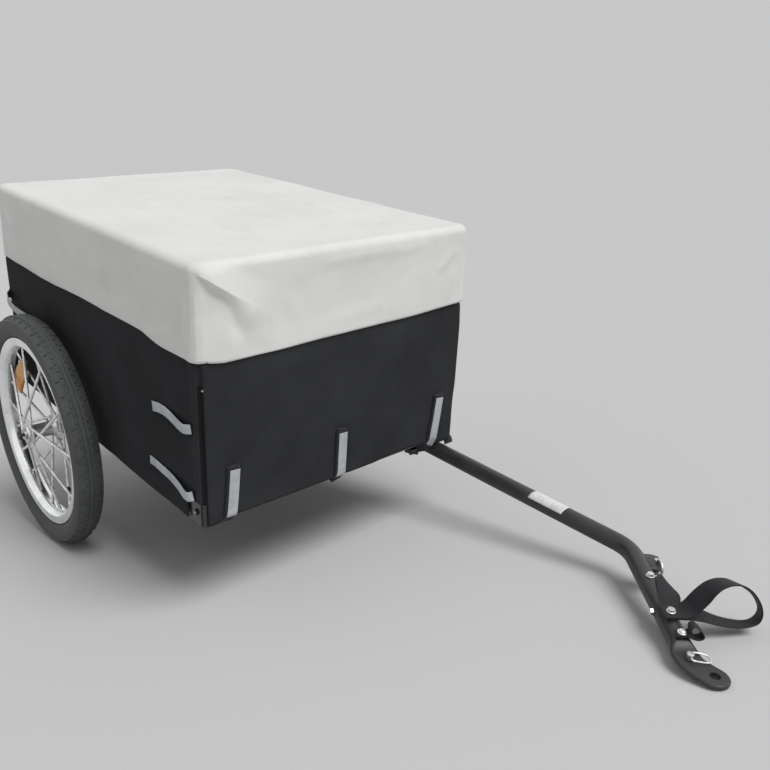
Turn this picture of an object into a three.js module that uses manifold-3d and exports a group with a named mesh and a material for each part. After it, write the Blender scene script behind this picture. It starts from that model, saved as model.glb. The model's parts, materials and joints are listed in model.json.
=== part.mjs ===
// Two-wheeled cargo trailer for a bicycle: a tube frame with a fabric tub, a lift-off fabric cover,
// two spoked wheels on plug-in stub axles and a bent tow arm that folds under the front corner.
// Millimetres. In the trailer's own frame X points forward from the front panel, Y points left from
// the middle and Z points up from the underside of the frame. The finished group stands on its two
// tyres and the tip of the tow arm, which tilts the whole trailer nose down.
import * as THREE from 'three';
import { mergeVertices } from 'three/addons/utils/BufferGeometryUtils.js';
import Module from 'manifold-3d';

const wasm = await Module();
wasm.setup();

// General clearances
const fit = 0.3;
const overrun = 2;
const weldDistance = 1e-4;

// Body
const bodyLength = 670;
const bodyWidth = 475;
const bodyHeight = 357;
const fabric = 1.6;

// Frame tubes
const railSize = 20;
const railWall = 1.5;
const railCorner = 2.5;
const postDiameter = 19;
const postWall = 1.5;
const topCornerRadius = 22;
const ventRadius = 2;
const crossMemberBehind = 230;

// Axle beam and stub axles
const axleBehind = 465;
const beamHeight = 44;
const beamWidth = 30;
const beamWall = 2.5;
const socketRadius = 15;
const socketReach = 10;
const axleRadius = 6;
const axleInsertion = 42;
const axleClearance = 0.08;
const collarRadius = 9;
const collarThickness = 3;
const buttonRadius = 7;
const buttonThickness = 4;
const buttonTravel = 4;
const buttonRodRadius = 3;
const buttonRodLength = 36;

// Wheels
const wheelStandOff = 42;
const rimRadius = 163;
const tyreHeight = 36;
const tyreHalfWidth = 22;
const tyreWall = 3.2;
const treadShare = 0.32;
const beadDrop = 10.5;
const rimHalfWidth = 14.7;
const rimDepth = 20;
const rimWall = 2;
const rimWellShare = 0.42;
const wheelSegments = 36;
const tubeClearance = 0.6;
const valveRadius = 4;
const valveLength = 32;
const valveAngle = -40;
const hubHalfLength = 29;
const hubRadius = 16;
const flangeSpacing = 50.6;
const flangeRadius = 26;
const flangeThickness = 3;
const spokeCount = 20;
const spokeRadius = 1.3;
const spokeCircleInset = 4;
const spokeCross = 52;
const bearingRadius = 12;
const bearingWidth = 7;
const reflectorInset = 60;
const reflectorHeight = 32;
const reflectorArc = 42;
const reflectorThickness = 7;
const reflectorAngle = 136;

// Corner shoes
const shoeArm = 34;
const shoeHeight = 36;
const shoeWall = 2.4;
const shoeBoltRadius = 5;
const shoeBoltHeight = 3;

// Floor board and straps
const boardThickness = 6;
const boardClearance = 3;
const strapWidth = 17.5;
const strapThickness = 1.6;
const frontStrapHeight = 77;
const frontStrapReturn = 20;
const frontStrapInset = 44.5;
const sideStrapLength = 109;
const sideStrapEnd = 21;
const sideStrapBulge = 9;
const upperStrapHeight = 134;
const lowerStrapHeight = 44;

// Cover
const coverDepth = 122;
const coverWall = 2.4;
const coverEase = 4.5;
const coverShoulderEase = 3.2;
const coverShoulder = 14;
const coverCorner = 16;
const coverHemDip = 2;

// Tow arm
const armDiameter = 25.4;
const armWall = 2;
const armInset = 31.5;
const armPivotBehind = 98;
const armTail = 14;
const armCornerAhead = 378;
const armLegLength = 228;
const armLegAngle = 40.9;
const armBendReach = 24;
const eyeBendReach = 15;
const eyeAhead = 29.5;
const eyeHoleRadius = 6;
const eyeWidth = 33;
const eyeThickness = 6;
const flattenLength = 45;
const armSides = 12;

// Arm bracket and its bolts
const bracketPlate = 4;
const bracketInner = 18;
const bracketFront = 38;
const bracketTail = 18;
const cheekLength = 36;
const pivotBoltRadius = 5;
const boltClearance = 0.3;
const boltHeadHeight = 5;
const boltHeadShare = 1.7;
const clampAhead = 42;
const clampBoltRadius = 4;
const clampSwing = 40;
const knobRadius = 14;
const knobHeight = 11;
const knobLobes = 6;
const knobLobeShare = 0.16;

// Fittings on the tow arm
const lugHeight = 10;
const lugRadius = 8;
const lugBase = 34;
const lugDistance = 34.5;
const lugReach = 26;
const lugHoleRadius = 4.5;
const ringRadius = 10.5;
const ringWire = 2;
const ringSlack = 0.6;
const upperBoltDistance = 81;
const crossBoltDistance = 137;
const loopBoltDistance = 157;
const keeperBoltDistance = 195;
const strapBoltRadius = 2.5;
const strapBoltHead = 4.6;
const strapBoltHeight = 3.5;
const safetyStrapWidth = 22;
const safetyStrapThickness = 1.6;
const loopOut = 104;
const loopUp = 47;
const loopDrop = 10;
const tailTurnShare = 0.35;
const tailRiseShare = 0.3;
const tailInwardShares = [0.2, 0.9];
const loopRiseShares = [[0.18, 0.35], [0.3, 0.67], [0.43, 0.9], [0.56, 0.99], [0.69, 0.95], [0.81, 0.79],
  [0.92, 0.52], [0.99, 0.22]];
const loopReturnShares = [[1, 0.3], [0.94, 0.8], [0.84, 1], [0.7, 0.9], [0.55, 0.55], [0.38, 0.25], [0.22, 0]];
const keeperWidth = 12;
const keeperOut = 30;
const keeperUp = 8;
const keeperShares = [[0.5, 0.7], [0.7, 1], [0.9, 0.85], [1, 0.2], [0.93, -0.45], [0.78, -0.5], [0.6, -0.15]];
const hitchPinRadius = 3;
const hitchPinHead = 5.5;
const hitchPinHeadHeight = 9;
const hitchPinBelow = 6;
const hitchPinBehindEye = 34;
const hitchPinOffset = 3;
const pullRingReach = 24;
const pullRingHalfWidth = 9;
const pullRingWire = 1.1;
const pullRingDroop = 10;
const pullRingShares = [[-0.5, 0], [0.5, 0], [0.95, 0.06], [1, 0.3], [1, 0.6], [0.8, 0.9], [0.3, 1], [-0.3, 1],
  [-0.8, 0.9], [-1, 0.6], [-1, 0.3], [-0.95, 0.06]];

// Sizes that follow from the ones above
const shoeCorner = shoeWall + 2 * fit;
const skinInset = fabric + fit;
const railCentreX = -(skinInset + railSize / 2);
const railCentreY = bodyWidth / 2 - skinInset - railSize / 2;
const rearRailX = -bodyLength - railCentreX;
const railLength = bodyLength - 2 * skinInset;
const crossLength = 2 * railCentreY - railSize - 2 * fit;
const floorUnderside = railSize + fit;
const floorTop = floorUnderside + fabric;
const topFrameZ = bodyHeight - fabric - fit - postDiameter / 2;
const postTop = topFrameZ - postDiameter / 2 - fit;
const axleZ = -(fit + beamHeight / 2);
const wheelY = bodyWidth / 2 + wheelStandOff;
const tyreRadius = rimRadius + tyreHeight;
const beadRadius = rimRadius - beadDrop;
const reflectorRadius = rimRadius - reflectorInset;
const frontStrapSpread = bodyWidth / 2 - frontStrapInset;
const armOffset = bodyWidth / 2 - armInset;
const armZ = -(fit + bracketPlate + fit + armDiameter / 2);
const coverTop = bodyHeight + fit + coverWall;
const legHeading = THREE.MathUtils.degToRad(-armLegAngle);
const legDirection = new THREE.Vector3(Math.cos(legHeading), Math.sin(legHeading), 0);
const outward = new THREE.Vector3(-Math.sin(legHeading), Math.cos(legHeading), 0);
const armCorner = new THREE.Vector3(armCornerAhead, armOffset, armZ);
const eyeCorner = armCorner.clone().addScaledVector(legDirection, armLegLength);
const eyeCentre = eyeCorner.clone().add(new THREE.Vector3(eyeAhead, 0, 0));
const up = new THREE.Vector3(0, 0, 1);

// Finishes
const finish = (color, roughness, metalness) => new THREE.MeshStandardMaterial({ color, roughness, metalness });
const blackSteel = finish(0x1d1e20, 0.45, 0.6);
const blackNylon = finish(0x1b1c1e, 0.9, 0);
const canvas = finish(0xd8d8d2, 0.85, 0);
const reflectiveTape = finish(0x8f949a, 0.5, 0);
const castAlloy = finish(0x9a9c9e, 0.4, 0.8);
const polishedAlloy = finish(0xc9cbcd, 0.2, 1);
const zincSteel = finish(0xb8babc, 0.35, 0.9);
const tyreRubber = finish(0x232426, 0.85, 0);
const tubeRubber = finish(0x18191a, 0.7, 0);
const amberPlastic = finish(0xe08a1a, 0.3, 0);
const blackPlastic = finish(0x141516, 0.5, 0);
const plywood = finish(0x8a6b45, 0.8, 0);

// Geometry helpers
function closedMesh(geometry) {
  const bare = geometry.clone();
  bare.deleteAttribute('normal');
  bare.deleteAttribute('uv');
  const merged = mergeVertices(bare, weldDistance);
  const kept = [];
  const index = merged.index.array;
  for (let i = 0; i < index.length; i += 3) {
    const [a, b, c] = [index[i], index[i + 1], index[i + 2]];
    if (a !== b && b !== c && c !== a) kept.push(a, b, c);
  }
  merged.setIndex(signedVolume(merged.attributes.position, kept) < 0 ? kept.reverse() : kept);
  return merged;
}

function signedVolume(position, index) {
  const [a, b, c] = [new THREE.Vector3(), new THREE.Vector3(), new THREE.Vector3()];
  let total = 0;
  for (let i = 0; i < index.length; i += 3) {
    a.fromBufferAttribute(position, index[i]);
    b.fromBufferAttribute(position, index[i + 1]);
    c.fromBufferAttribute(position, index[i + 2]);
    total += a.dot(b.cross(c));
  }
  return total;
}

function toManifold(geometry) {
  const shell = closedMesh(geometry);
  return new wasm.Manifold(new wasm.Mesh({
    numProp: 3,
    vertProperties: new Float32Array(shell.attributes.position.array),
    triVerts: new Uint32Array(shell.index.array),
  }));
}

function fromManifold(solid) {
  const mesh = solid.getMesh();
  const geometry = new THREE.BufferGeometry();
  geometry.setAttribute('position', new THREE.BufferAttribute(mesh.vertProperties, 3));
  geometry.setIndex(new THREE.BufferAttribute(mesh.triVerts, 1));
  return geometry;
}

function combine(joined, removed = []) {
  let solid = toManifold(joined[0]);
  for (const extra of joined.slice(1)) solid = solid.add(toManifold(extra));
  for (const tool of removed) solid = solid.subtract(toManifold(tool));
  return fromManifold(solid);
}

function box(sizeX, sizeY, sizeZ, x, y, z) {
  return new THREE.BoxGeometry(sizeX, sizeY, sizeZ).translate(x, y, z);
}

function rod(radius, length, axis, x, y, z, sides = 16) {
  const geometry = new THREE.CylinderGeometry(radius, radius, length, sides);
  if (axis === 'x') geometry.rotateZ(Math.PI / 2);
  if (axis === 'z') geometry.rotateX(Math.PI / 2);
  return geometry.translate(x, y, z);
}

function roundedRectangle(width, height, radius) {
  const shape = new THREE.Shape();
  const [x, y] = [width / 2 - radius, height / 2 - radius];
  shape.absarc(x, y, radius, 0, Math.PI / 2);
  shape.absarc(-x, y, radius, Math.PI / 2, Math.PI);
  shape.absarc(-x, -y, radius, Math.PI, Math.PI * 3 / 2);
  shape.absarc(x, -y, radius, Math.PI * 3 / 2, Math.PI * 2);
  return shape;
}

// Extrudes a flat outline upward from z = 0.
function prism(shape, height, curveSegments = 4) {
  return new THREE.ExtrudeGeometry(shape, { depth: height, bevelEnabled: false, curveSegments });
}

// Extrudes an outline drawn in X and Z through a width that is centred on y.
function crosswise(shape, width, y, curveSegments = 4) {
  return prism(shape, width, curveSegments).rotateX(Math.PI / 2).translate(0, y + width / 2, 0);
}

function polygon(points) {
  return new THREE.Shape(points.map(([x, y]) => new THREE.Vector2(x, y)));
}

function squareTube(length, axis, x, y, z) {
  const shape = roundedRectangle(railSize, railSize, railCorner);
  const innerSize = railSize - 2 * railWall;
  shape.holes.push(roundedRectangle(innerSize, innerSize, railCorner - railWall));
  const geometry = prism(shape, length, 2).translate(0, 0, -length / 2);
  geometry.rotateY(Math.PI / 2);
  if (axis === 'y') geometry.rotateZ(Math.PI / 2);
  return geometry.translate(x, y, z);
}

function roundTube(outer, inner, length, sides) {
  const profile = [[inner, 0], [outer, 0], [outer, length], [inner, length], [inner, 0]];
  return new THREE.LatheGeometry(profile.map(([r, y]) => new THREE.Vector2(r, y)), sides).rotateX(Math.PI / 2);
}

// Revolves a profile of [radius, y] pairs about the wheel's axle line.
function revolve(profile, segments) {
  return new THREE.LatheGeometry(profile.map(([r, y]) => new THREE.Vector2(r, y)), segments);
}

// Skins a row of rings that have the same number of points; ends are capped unless the row is a loop.
function skin(rings, loop = false) {
  const count = rings[0].length;
  const index = [];
  const spans = loop ? rings.length : rings.length - 1;
  for (let i = 0; i < spans; i++) {
    const here = i * count;
    const next = ((i + 1) % rings.length) * count;
    for (let j = 0; j < count; j++) {
      const k = (j + 1) % count;
      index.push(here + j, here + k, next + k, here + j, next + k, next + j);
    }
  }
  const last = (rings.length - 1) * count;
  for (let j = 1; !loop && j < count - 1; j++) {
    index.push(0, j + 1, j);
    index.push(last, last + j, last + j + 1);
  }
  const geometry = new THREE.BufferGeometry();
  const positions = rings.flat().flatMap((point) => [point.x, point.y, point.z]);
  geometry.setAttribute('position', new THREE.Float32BufferAttribute(positions, 3));
  geometry.setIndex(index);
  return geometry;
}

// Ring of points for a level sweep: an obround of the given width and height, square to the heading.
function obround(centre, heading, width, height, sides) {
  const left = new THREE.Vector3(-Math.sin(heading), Math.cos(heading), 0);
  const points = [];
  for (let j = 0; j < sides; j++) {
    const angle = (j + 0.5) * 2 * Math.PI / sides;
    const across = Math.cos(angle) * height / 2 + Math.sign(Math.cos(angle)) * (width - height) / 2;
    const point = centre.clone().addScaledVector(left, across);
    points.push(point.addScaledVector(up, Math.sin(angle) * height / 2));
  }
  return points;
}

// A level path through corner points, with each inner corner rounded by its reach.
function bentPath(corners, reaches) {
  const path = new THREE.CurvePath();
  let start = corners[0];
  for (let i = 1; i < corners.length; i++) {
    const reach = reaches[i - 1] ?? 0;
    const back = corners[i - 1].clone().sub(corners[i]).setLength(reach);
    const before = corners[i].clone().add(back);
    path.add(new THREE.LineCurve3(start, before));
    if (i === corners.length - 1) break;
    const after = corners[i].clone().add(corners[i + 1].clone().sub(corners[i]).setLength(reach));
    path.add(new THREE.QuadraticBezierCurve3(before, corners[i], after));
    start = after;
  }
  return path;
}

function stationsOn(path, steps) {
  const stations = [];
  let travelled = 0;
  path.curves.forEach((curve, i) => {
    for (let step = i === 0 ? 0 : 1; step <= steps[i]; step++) {
      const share = step / steps[i];
      const tangent = curve.getTangentAt(share);
      stations.push({
        point: curve.getPointAt(share),
        heading: Math.atan2(tangent.y, tangent.x),
        travelled: travelled + share * curve.getLength(),
      });
    }
    travelled += curve.getLength();
  });
  return stations;
}

// A flat band: a closed or open run of [out, up] pairs given a thickness and a width along the arm's leg.
function band(points, thickness, width, loop) {
  const count = points.length;
  const rings = points.map(([x, y], i) => {
    const before = points[loop ? (i + count - 1) % count : Math.max(i - 1, 0)];
    const after = points[loop ? (i + 1) % count : Math.min(i + 1, count - 1)];
    const length = Math.hypot(after[0] - before[0], after[1] - before[1]);
    const half = thickness / 2 / length;
    const normal = [-(after[1] - before[1]) * half, (after[0] - before[0]) * half];
    return [[-1, 1], [1, 1], [1, -1], [-1, -1]].map(([side, face]) => new THREE.Vector3()
      .addScaledVector(outward, x + face * normal[0])
      .addScaledVector(up, y + face * normal[1])
      .addScaledVector(legDirection, side * width / 2));
  });
  return skin(rings, loop);
}

const trailer = new THREE.Group();
const level = new THREE.Group();
trailer.add(level);

function piece(name, geometry, material, parent = level) {
  const shell = closedMesh(geometry);
  shell.computeVertexNormals();
  const mesh = new THREE.Mesh(shell, material);
  mesh.name = name;
  parent.add(mesh);
  return mesh;
}

// Base frame
function baseFrame() {
  for (const [side, sign] of [['right', -1], ['left', 1]]) {
    const rail = squareTube(railLength, 'x', -bodyLength / 2, sign * railCentreY, railSize / 2);
    piece(`${side}_side_rail`, rail, blackSteel);
  }
  const crossTubes = [['front_rail', railCentreX], ['rear_rail', rearRailX], ['cross_member', -crossMemberBehind]];
  for (const [name, x] of crossTubes) {
    piece(name, squareTube(crossLength, 'y', x, 0, railSize / 2), blackSteel);
  }
  piece('axle_beam', axleBeam(), blackSteel);
}

// Rectangular beam under the rails, with a plug-in socket for a stub axle at each end.
function axleBeam() {
  const x = -axleBehind;
  const inner = [beamWidth - 2 * beamWall, bodyWidth - 2 * beamWall, beamHeight - 2 * beamWall];
  const socketSpan = bodyWidth + 2 * socketReach;
  const hollow = combine([box(beamWidth, bodyWidth, beamHeight, x, 0, axleZ)], [box(...inner, x, 0, axleZ)]);
  return combine(
    [hollow, rod(socketRadius, socketReach + beamWall, 'y', x, (bodyWidth + socketReach - beamWall) / 2, axleZ),
      rod(socketRadius, socketReach + beamWall, 'y', x, -(bodyWidth + socketReach - beamWall) / 2, axleZ)],
    [rod(axleRadius + axleClearance, socketSpan + overrun, 'y', x, 0, axleZ, 24)],
  );
}

// Upright posts and the ring that they carry
function upperFrame() {
  for (const [end, x] of [['front', railCentreX], ['rear', rearRailX]]) {
    for (const [side, sign] of [['right', -1], ['left', 1]]) {
      const post = roundTube(postDiameter / 2, postDiameter / 2 - postWall, postTop - railSize - fit, 14);
      piece(`${end}_${side}_post`, post.translate(x, sign * railCentreY, railSize + fit), blackSteel);
    }
  }
  piece('top_frame', topFrame(), blackSteel);
}

function topFrame() {
  const middle = (railCentreX + rearRailX) / 2;
  const outline = roundedRectangle(railCentreX - rearRailX, 2 * railCentreY, topCornerRadius);
  const arcSteps = 4;
  const corners = outline.curves.filter((curve) => curve.isEllipseCurve);
  const walk = (diameter) => skin(corners.flatMap((curve) => {
    const rings = [];
    for (let step = 0; step <= arcSteps; step++) {
      const point = curve.getPoint(step / arcSteps);
      const tangent = curve.getTangent(step / arcSteps);
      const centre = new THREE.Vector3(point.x + middle, point.y, topFrameZ);
      rings.push(obround(centre, Math.atan2(tangent.y, tangent.x), diameter, diameter, 8));
    }
    return rings;
  }), true);
  const vent = rod(ventRadius, postDiameter, 'z', middle, railCentreY, topFrameZ - postDiameter / 2, 8);
  return combine([walk(postDiameter)], [walk(postDiameter - 2 * postWall), vent]);
}

// Corner shoes: pressed alloy angles that wrap each lower corner, with their bolt heads.
function cornerShoes() {
  const faceX = -skinInset + fit;
  const faceY = bodyWidth / 2 - skinInset + fit;
  const outline = new THREE.Shape();
  outline.moveTo(-shoeArm, shoeWall);
  outline.lineTo(shoeWall - shoeCorner, shoeWall);
  outline.absarc(shoeWall - shoeCorner, shoeWall - shoeCorner, shoeCorner, Math.PI / 2, 0, true);
  outline.lineTo(shoeWall, -shoeArm);
  outline.lineTo(0, -shoeArm);
  outline.lineTo(0, shoeWall - shoeCorner);
  outline.absarc(shoeWall - shoeCorner, shoeWall - shoeCorner, shoeCorner - shoeWall, 0, Math.PI / 2);
  outline.lineTo(-shoeArm, 0);
  const sole = new THREE.Shape();
  sole.moveTo(-shoeArm, shoeWall);
  sole.lineTo(shoeWall - shoeCorner, shoeWall);
  sole.absarc(shoeWall - shoeCorner, shoeWall - shoeCorner, shoeCorner, Math.PI / 2, 0, true);
  sole.lineTo(shoeWall, -shoeArm);
  const boltPlace = shoeArm / 2;
  const boltLength = shoeBoltHeight + shoeWall;
  const angle = combine([
    prism(outline, shoeHeight, 2),
    prism(sole, shoeWall, 2),
    rod(shoeBoltRadius, boltLength, 'x', boltLength / 2, -boltPlace, shoeHeight / 2, 6),
    rod(shoeBoltRadius, boltLength, 'y', -boltPlace, boltLength / 2, shoeHeight / 2, 6),
  ]).translate(0, 0, -(shoeWall + fit));
  for (const [end, signX] of [['front', 1], ['rear', -1]]) {
    for (const [side, signY] of [['right', -1], ['left', 1]]) {
      const shoe = angle.clone().scale(signX, signY, 1);
      const x = signX > 0 ? faceX : -bodyLength - faceX;
      piece(`${end}_${side}_corner_shoe`, shoe.translate(x, signY * faceY, 0), castAlloy);
    }
  }
}

// Level ring of points round the body's plan, set out from it by ease; the height dips at the corners.
function planRing(ease, radius, z, edgeSteps = 1, dip = 0) {
  const cornerSteps = 3;
  const [halfX, halfY] = [bodyLength / 2 + ease, bodyWidth / 2 + ease];
  const points = [];
  const corners = [[1, 1], [-1, 1], [-1, -1], [1, -1]];
  const centreOf = ([signX, signY]) => new THREE.Vector2(signX * (halfX - radius), signY * (halfY - radius));
  corners.forEach((corner, quarter) => {
    const centre = centreOf(corner);
    for (let step = 0; step <= cornerSteps; step++) {
      const angle = (quarter + step / cornerSteps) * Math.PI / 2;
      const [x, y] = [centre.x + radius * Math.cos(angle), centre.y + radius * Math.sin(angle)];
      points.push(new THREE.Vector3(x - bodyLength / 2, y, z - dip));
    }
    const next = centreOf(corners[(quarter + 1) % corners.length]);
    const turn = (quarter + 1) * Math.PI / 2;
    for (let step = 1; step < edgeSteps; step++) {
      const spot = centre.clone().lerp(next, step / edgeSteps);
      const [x, y] = [spot.x + radius * Math.cos(turn), spot.y + radius * Math.sin(turn)];
      const height = z - dip * Math.cos(Math.PI * step / edgeSteps) ** 2;
      points.push(new THREE.Vector3(x - bodyLength / 2, y, height));
    }
  });
  return points;
}

// Walls that rise from a bottom ring and round over into a flat top.
function roundedCap(bottomRing, ease, cornerRadius, shoulder, top, edgeSteps = 1) {
  const steps = 4;
  const rings = [bottomRing];
  for (let step = 0; step <= steps; step++) {
    const angle = step / steps * Math.PI / 2;
    const drawIn = shoulder * (1 - Math.cos(angle));
    const height = top - shoulder * (1 - Math.sin(angle));
    rings.push(planRing(ease - drawIn, cornerRadius - drawIn, height, edgeSteps));
  }
  return skin(rings);
}

// Fabric tub: walls outside the frame, a floor over the rails, a skirt below it and a lip over the top ring.
function fabricTub() {
  const cornerRadius = postDiameter / 2 + skinInset;
  const layer = (inset, from, top) => {
    const rounding = cornerRadius - inset;
    return roundedCap(planRing(-inset, rounding, from), -inset, rounding, rounding, top);
  };
  const lipInset = skinInset + postDiameter;
  const mouthPlan = roundedRectangle(bodyLength - 2 * lipInset, bodyWidth - 2 * lipInset, railCorner);
  const mouth = prism(mouthPlan, postDiameter, 2).translate(-bodyLength / 2, 0, bodyHeight - postDiameter / 2);
  const skirtPlan = roundedRectangle(bodyLength - 2 * fabric, bodyWidth - 2 * fabric, cornerRadius - fabric);
  const skirt = prism(skirtPlan, floorUnderside + overrun, 3).translate(-bodyLength / 2, 0, -overrun);
  const cornerCut = 2 * (shoeArm + skinInset);
  const cuts = [];
  for (const x of [0, -bodyLength]) {
    for (const sign of [-1, 1]) {
      cuts.push(box(cornerCut, cornerCut, 2 * (shoeHeight - shoeWall), x, sign * bodyWidth / 2, 0));
    }
  }
  const hollow = layer(fabric, floorTop, bodyHeight - fabric);
  return combine([layer(0, 0, bodyHeight)], [hollow, mouth, skirt, ...cuts]);
}

function floorBoard() {
  const width = bodyWidth - 2 * (skinInset + boardClearance);
  const plan = roundedRectangle(railLength - 2 * boardClearance, width, railCorner);
  const notch = 2 * (postDiameter / 2 + railSize / 2 + boardClearance);
  const cuts = [];
  for (const x of [0, -bodyLength]) {
    for (const sign of [-1, 1]) {
      cuts.push(box(notch + shoeArm, notch + shoeArm, boardThickness * 3, x, sign * bodyWidth / 2, floorTop));
    }
  }
  return combine([prism(plan, boardThickness).translate(-bodyLength / 2, 0, floorTop + fit)], cuts);
}

// Webbing that holds the panels: hooked under the front rail, or slack across the corners of the sides.
function frontStrap(y) {
  const [near, far] = [fit, fit + strapThickness];
  return crosswise(polygon([
    [near, frontStrapHeight], [near, -near], [-frontStrapReturn, -near], [-frontStrapReturn, -far],
    [far, -far], [far, frontStrapHeight],
  ]), strapWidth, y);
}

function sideStrap(height) {
  const steps = 10;
  const near = [];
  const far = [];
  for (let i = 0; i <= steps; i++) {
    const share = i / steps;
    const bulge = fit + sideStrapBulge * Math.sin(Math.PI * share) ** 2;
    near.push([-sideStrapEnd - sideStrapLength * share, bulge]);
    far.unshift([-sideStrapEnd - sideStrapLength * share, bulge + strapThickness]);
  }
  return prism(polygon([...near, ...far]), strapWidth).translate(0, bodyWidth / 2, height - strapWidth / 2);
}

function straps() {
  for (const [name, y] of [['right', -frontStrapSpread], ['middle', 0], ['left', frontStrapSpread]]) {
    piece(`front_${name}_strap`, frontStrap(y), reflectiveTape);
  }
  for (const [side, sign] of [['right', -1], ['left', 1]]) {
    for (const [place, height] of [['upper', upperStrapHeight], ['lower', lowerStrapHeight]]) {
      piece(`${side}_front_${place}_strap`, sideStrap(height).scale(1, sign, 1), reflectiveTape);
    }
    const rear = sideStrap(upperStrapHeight).scale(-1, sign, 1).translate(-bodyLength, 0, 0);
    piece(`${side}_rear_upper_strap`, rear, reflectiveTape);
  }
}

// Rain cover: a fitted cap with rounded shoulders and a hem that dips at the corners. It is sewn from a flat
// top panel and the skirts that hang from it.
function rainCover() {
  const edgeSteps = 4;
  const lining = coverTop - coverWall;
  const slab = (from, to) => box(2 * bodyLength, 2 * bodyWidth, to - from, -bodyLength / 2, 0, (from + to) / 2);
  const layer = (inset, below) => {
    const [ease, corner, shoulder] = [coverShoulderEase - inset, coverCorner - inset, coverShoulder - inset];
    const hem = planRing(coverEase - inset, corner, coverTop - coverDepth - below, edgeSteps, coverHemDip);
    return roundedCap(hem, ease, corner, shoulder, coverTop - inset, edgeSteps);
  };
  const cap = combine([layer(0, 0)], [layer(coverWall, overrun)]);
  piece('rain_cover_top', combine([cap], [slab(0, lining)]), canvas);
  piece('rain_cover_skirts', combine([cap], [slab(lining - fit, coverTop + overrun)]), canvas);
}

// Wheel pieces are made about the axle line, which is Y, with the outer side towards -Y.
function tyre() {
  const shoulder = (rimRadius + tyreRadius) / 2;
  const beadHalf = rimHalfWidth - rimWall - fit;
  const tread = tyreHalfWidth * treadShare;
  const outer = [
    [beadRadius, beadHalf],
    [rimRadius + fit, beadHalf],
    [shoulder - 2 * tyreWall, tyreHalfWidth - fit],
    [shoulder + 2 * tyreWall, tyreHalfWidth],
    [tyreRadius - tyreWall, tyreHalfWidth - 2 * tyreWall],
    [tyreRadius, tread],
  ];
  const inner = [
    [tyreRadius - tyreWall, tread],
    [shoulder, tyreHalfWidth - tyreWall],
    [rimRadius + fit, beadHalf - tyreWall],
    [beadRadius, beadHalf - tyreWall],
  ];
  const mirrored = (points) => points.map(([r, y]) => [r, -y]).reverse();
  const loop = [...outer, ...mirrored(outer), ...mirrored(inner), ...inner];
  return revolve([...loop, loop[0]], wheelSegments);
}

function innerTube() {
  const crown = tyreRadius - tyreWall - tubeClearance;
  const centre = (rimRadius + crown) / 2;
  const radius = crown - centre - tubeClearance;
  const ring = new THREE.TorusGeometry(centre, radius, 6, wheelSegments).rotateX(Math.PI / 2);
  const angle = THREE.MathUtils.degToRad(valveAngle);
  const inner = rimRadius - rimDepth - valveLength;
  const stem = rod(valveRadius, centre - inner, 'x', (centre + inner) / 2, 0, 0, 10).rotateY(-angle);
  return combine([ring, stem]);
}

function rim() {
  const bed = rimRadius - rimDepth;
  const half = rimHalfWidth;
  const well = half * rimWellShare;
  const profile = [
    [rimRadius, half], [bed + 2 * rimWall, half], [bed, well], [bed, -well], [bed + 2 * rimWall, -half],
    [rimRadius, -half], [rimRadius, -half + rimWall], [bed + 3 * rimWall, -half + rimWall],
    [bed + rimWall, -well], [bed + rimWall, well], [bed + 3 * rimWall, half - rimWall],
    [rimRadius, half - rimWall],
  ];
  const angle = THREE.MathUtils.degToRad(valveAngle);
  const hole = rod(valveRadius + fit, rimDepth, 'x', bed, 0, 0, 10).rotateY(-angle);
  return combine([revolve([...profile, profile[0]], wheelSegments)], [hole]);
}

// Hub shell with two flanges and the laced spokes, which cross their neighbours on the way to the rim.
function spokedHub() {
  const flangeY = flangeSpacing / 2;
  const flangeInner = flangeY - flangeThickness;
  const half = [
    [bearingRadius + fit, hubHalfLength], [hubRadius, hubHalfLength], [hubRadius, flangeY],
    [flangeRadius - flangeThickness / 2, flangeY], [flangeRadius, flangeY - flangeThickness / 2],
    [flangeRadius - flangeThickness / 2, flangeInner], [hubRadius + flangeThickness, flangeInner],
    [hubRadius, flangeInner - flangeThickness],
  ];
  const profile = [...half, ...half.map(([r, y]) => [r, -y]).reverse()];
  const shell = revolve([...profile, profile[0]], 16);
  const tip = (rimRadius - rimDepth) * Math.cos(Math.PI / wheelSegments) - fit;
  const root = flangeRadius - spokeCircleInset;
  const spokes = [];
  for (let i = 0; i < spokeCount; i++) {
    const side = i % 2 === 0 ? -1 : 1;
    const lead = Math.floor(i / 2) % 2 === 0 ? 1 : -1;
    const rimAngle = i / spokeCount * 2 * Math.PI;
    const hubAngle = rimAngle + lead * THREE.MathUtils.degToRad(spokeCross);
    const face = flangeY - flangeThickness / 2 + lead * spokeRadius;
    const from = new THREE.Vector3(root * Math.cos(hubAngle), side * face, root * Math.sin(hubAngle));
    const to = new THREE.Vector3(tip * Math.cos(rimAngle), side * spokeRadius, tip * Math.sin(rimAngle));
    spokes.push(strut(from, to, spokeRadius, 4));
  }
  return combine([shell, ...spokes]);
}

function strut(from, to, radius, sides) {
  const geometry = new THREE.CylinderGeometry(radius, radius, from.distanceTo(to), sides);
  const direction = to.clone().sub(from).normalize();
  const turn = new THREE.Quaternion().setFromUnitVectors(new THREE.Vector3(0, 1, 0), direction);
  const middle = from.clone().add(to).multiplyScalar(0.5);
  return geometry.applyQuaternion(turn).translate(middle.x, middle.y, middle.z);
}

function bearing() {
  const inner = axleRadius + axleClearance;
  const outer = bearingRadius;
  return revolve([[inner, 0], [outer, 0], [outer, bearingWidth], [inner, bearingWidth], [inner, 0]], 20);
}

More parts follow.
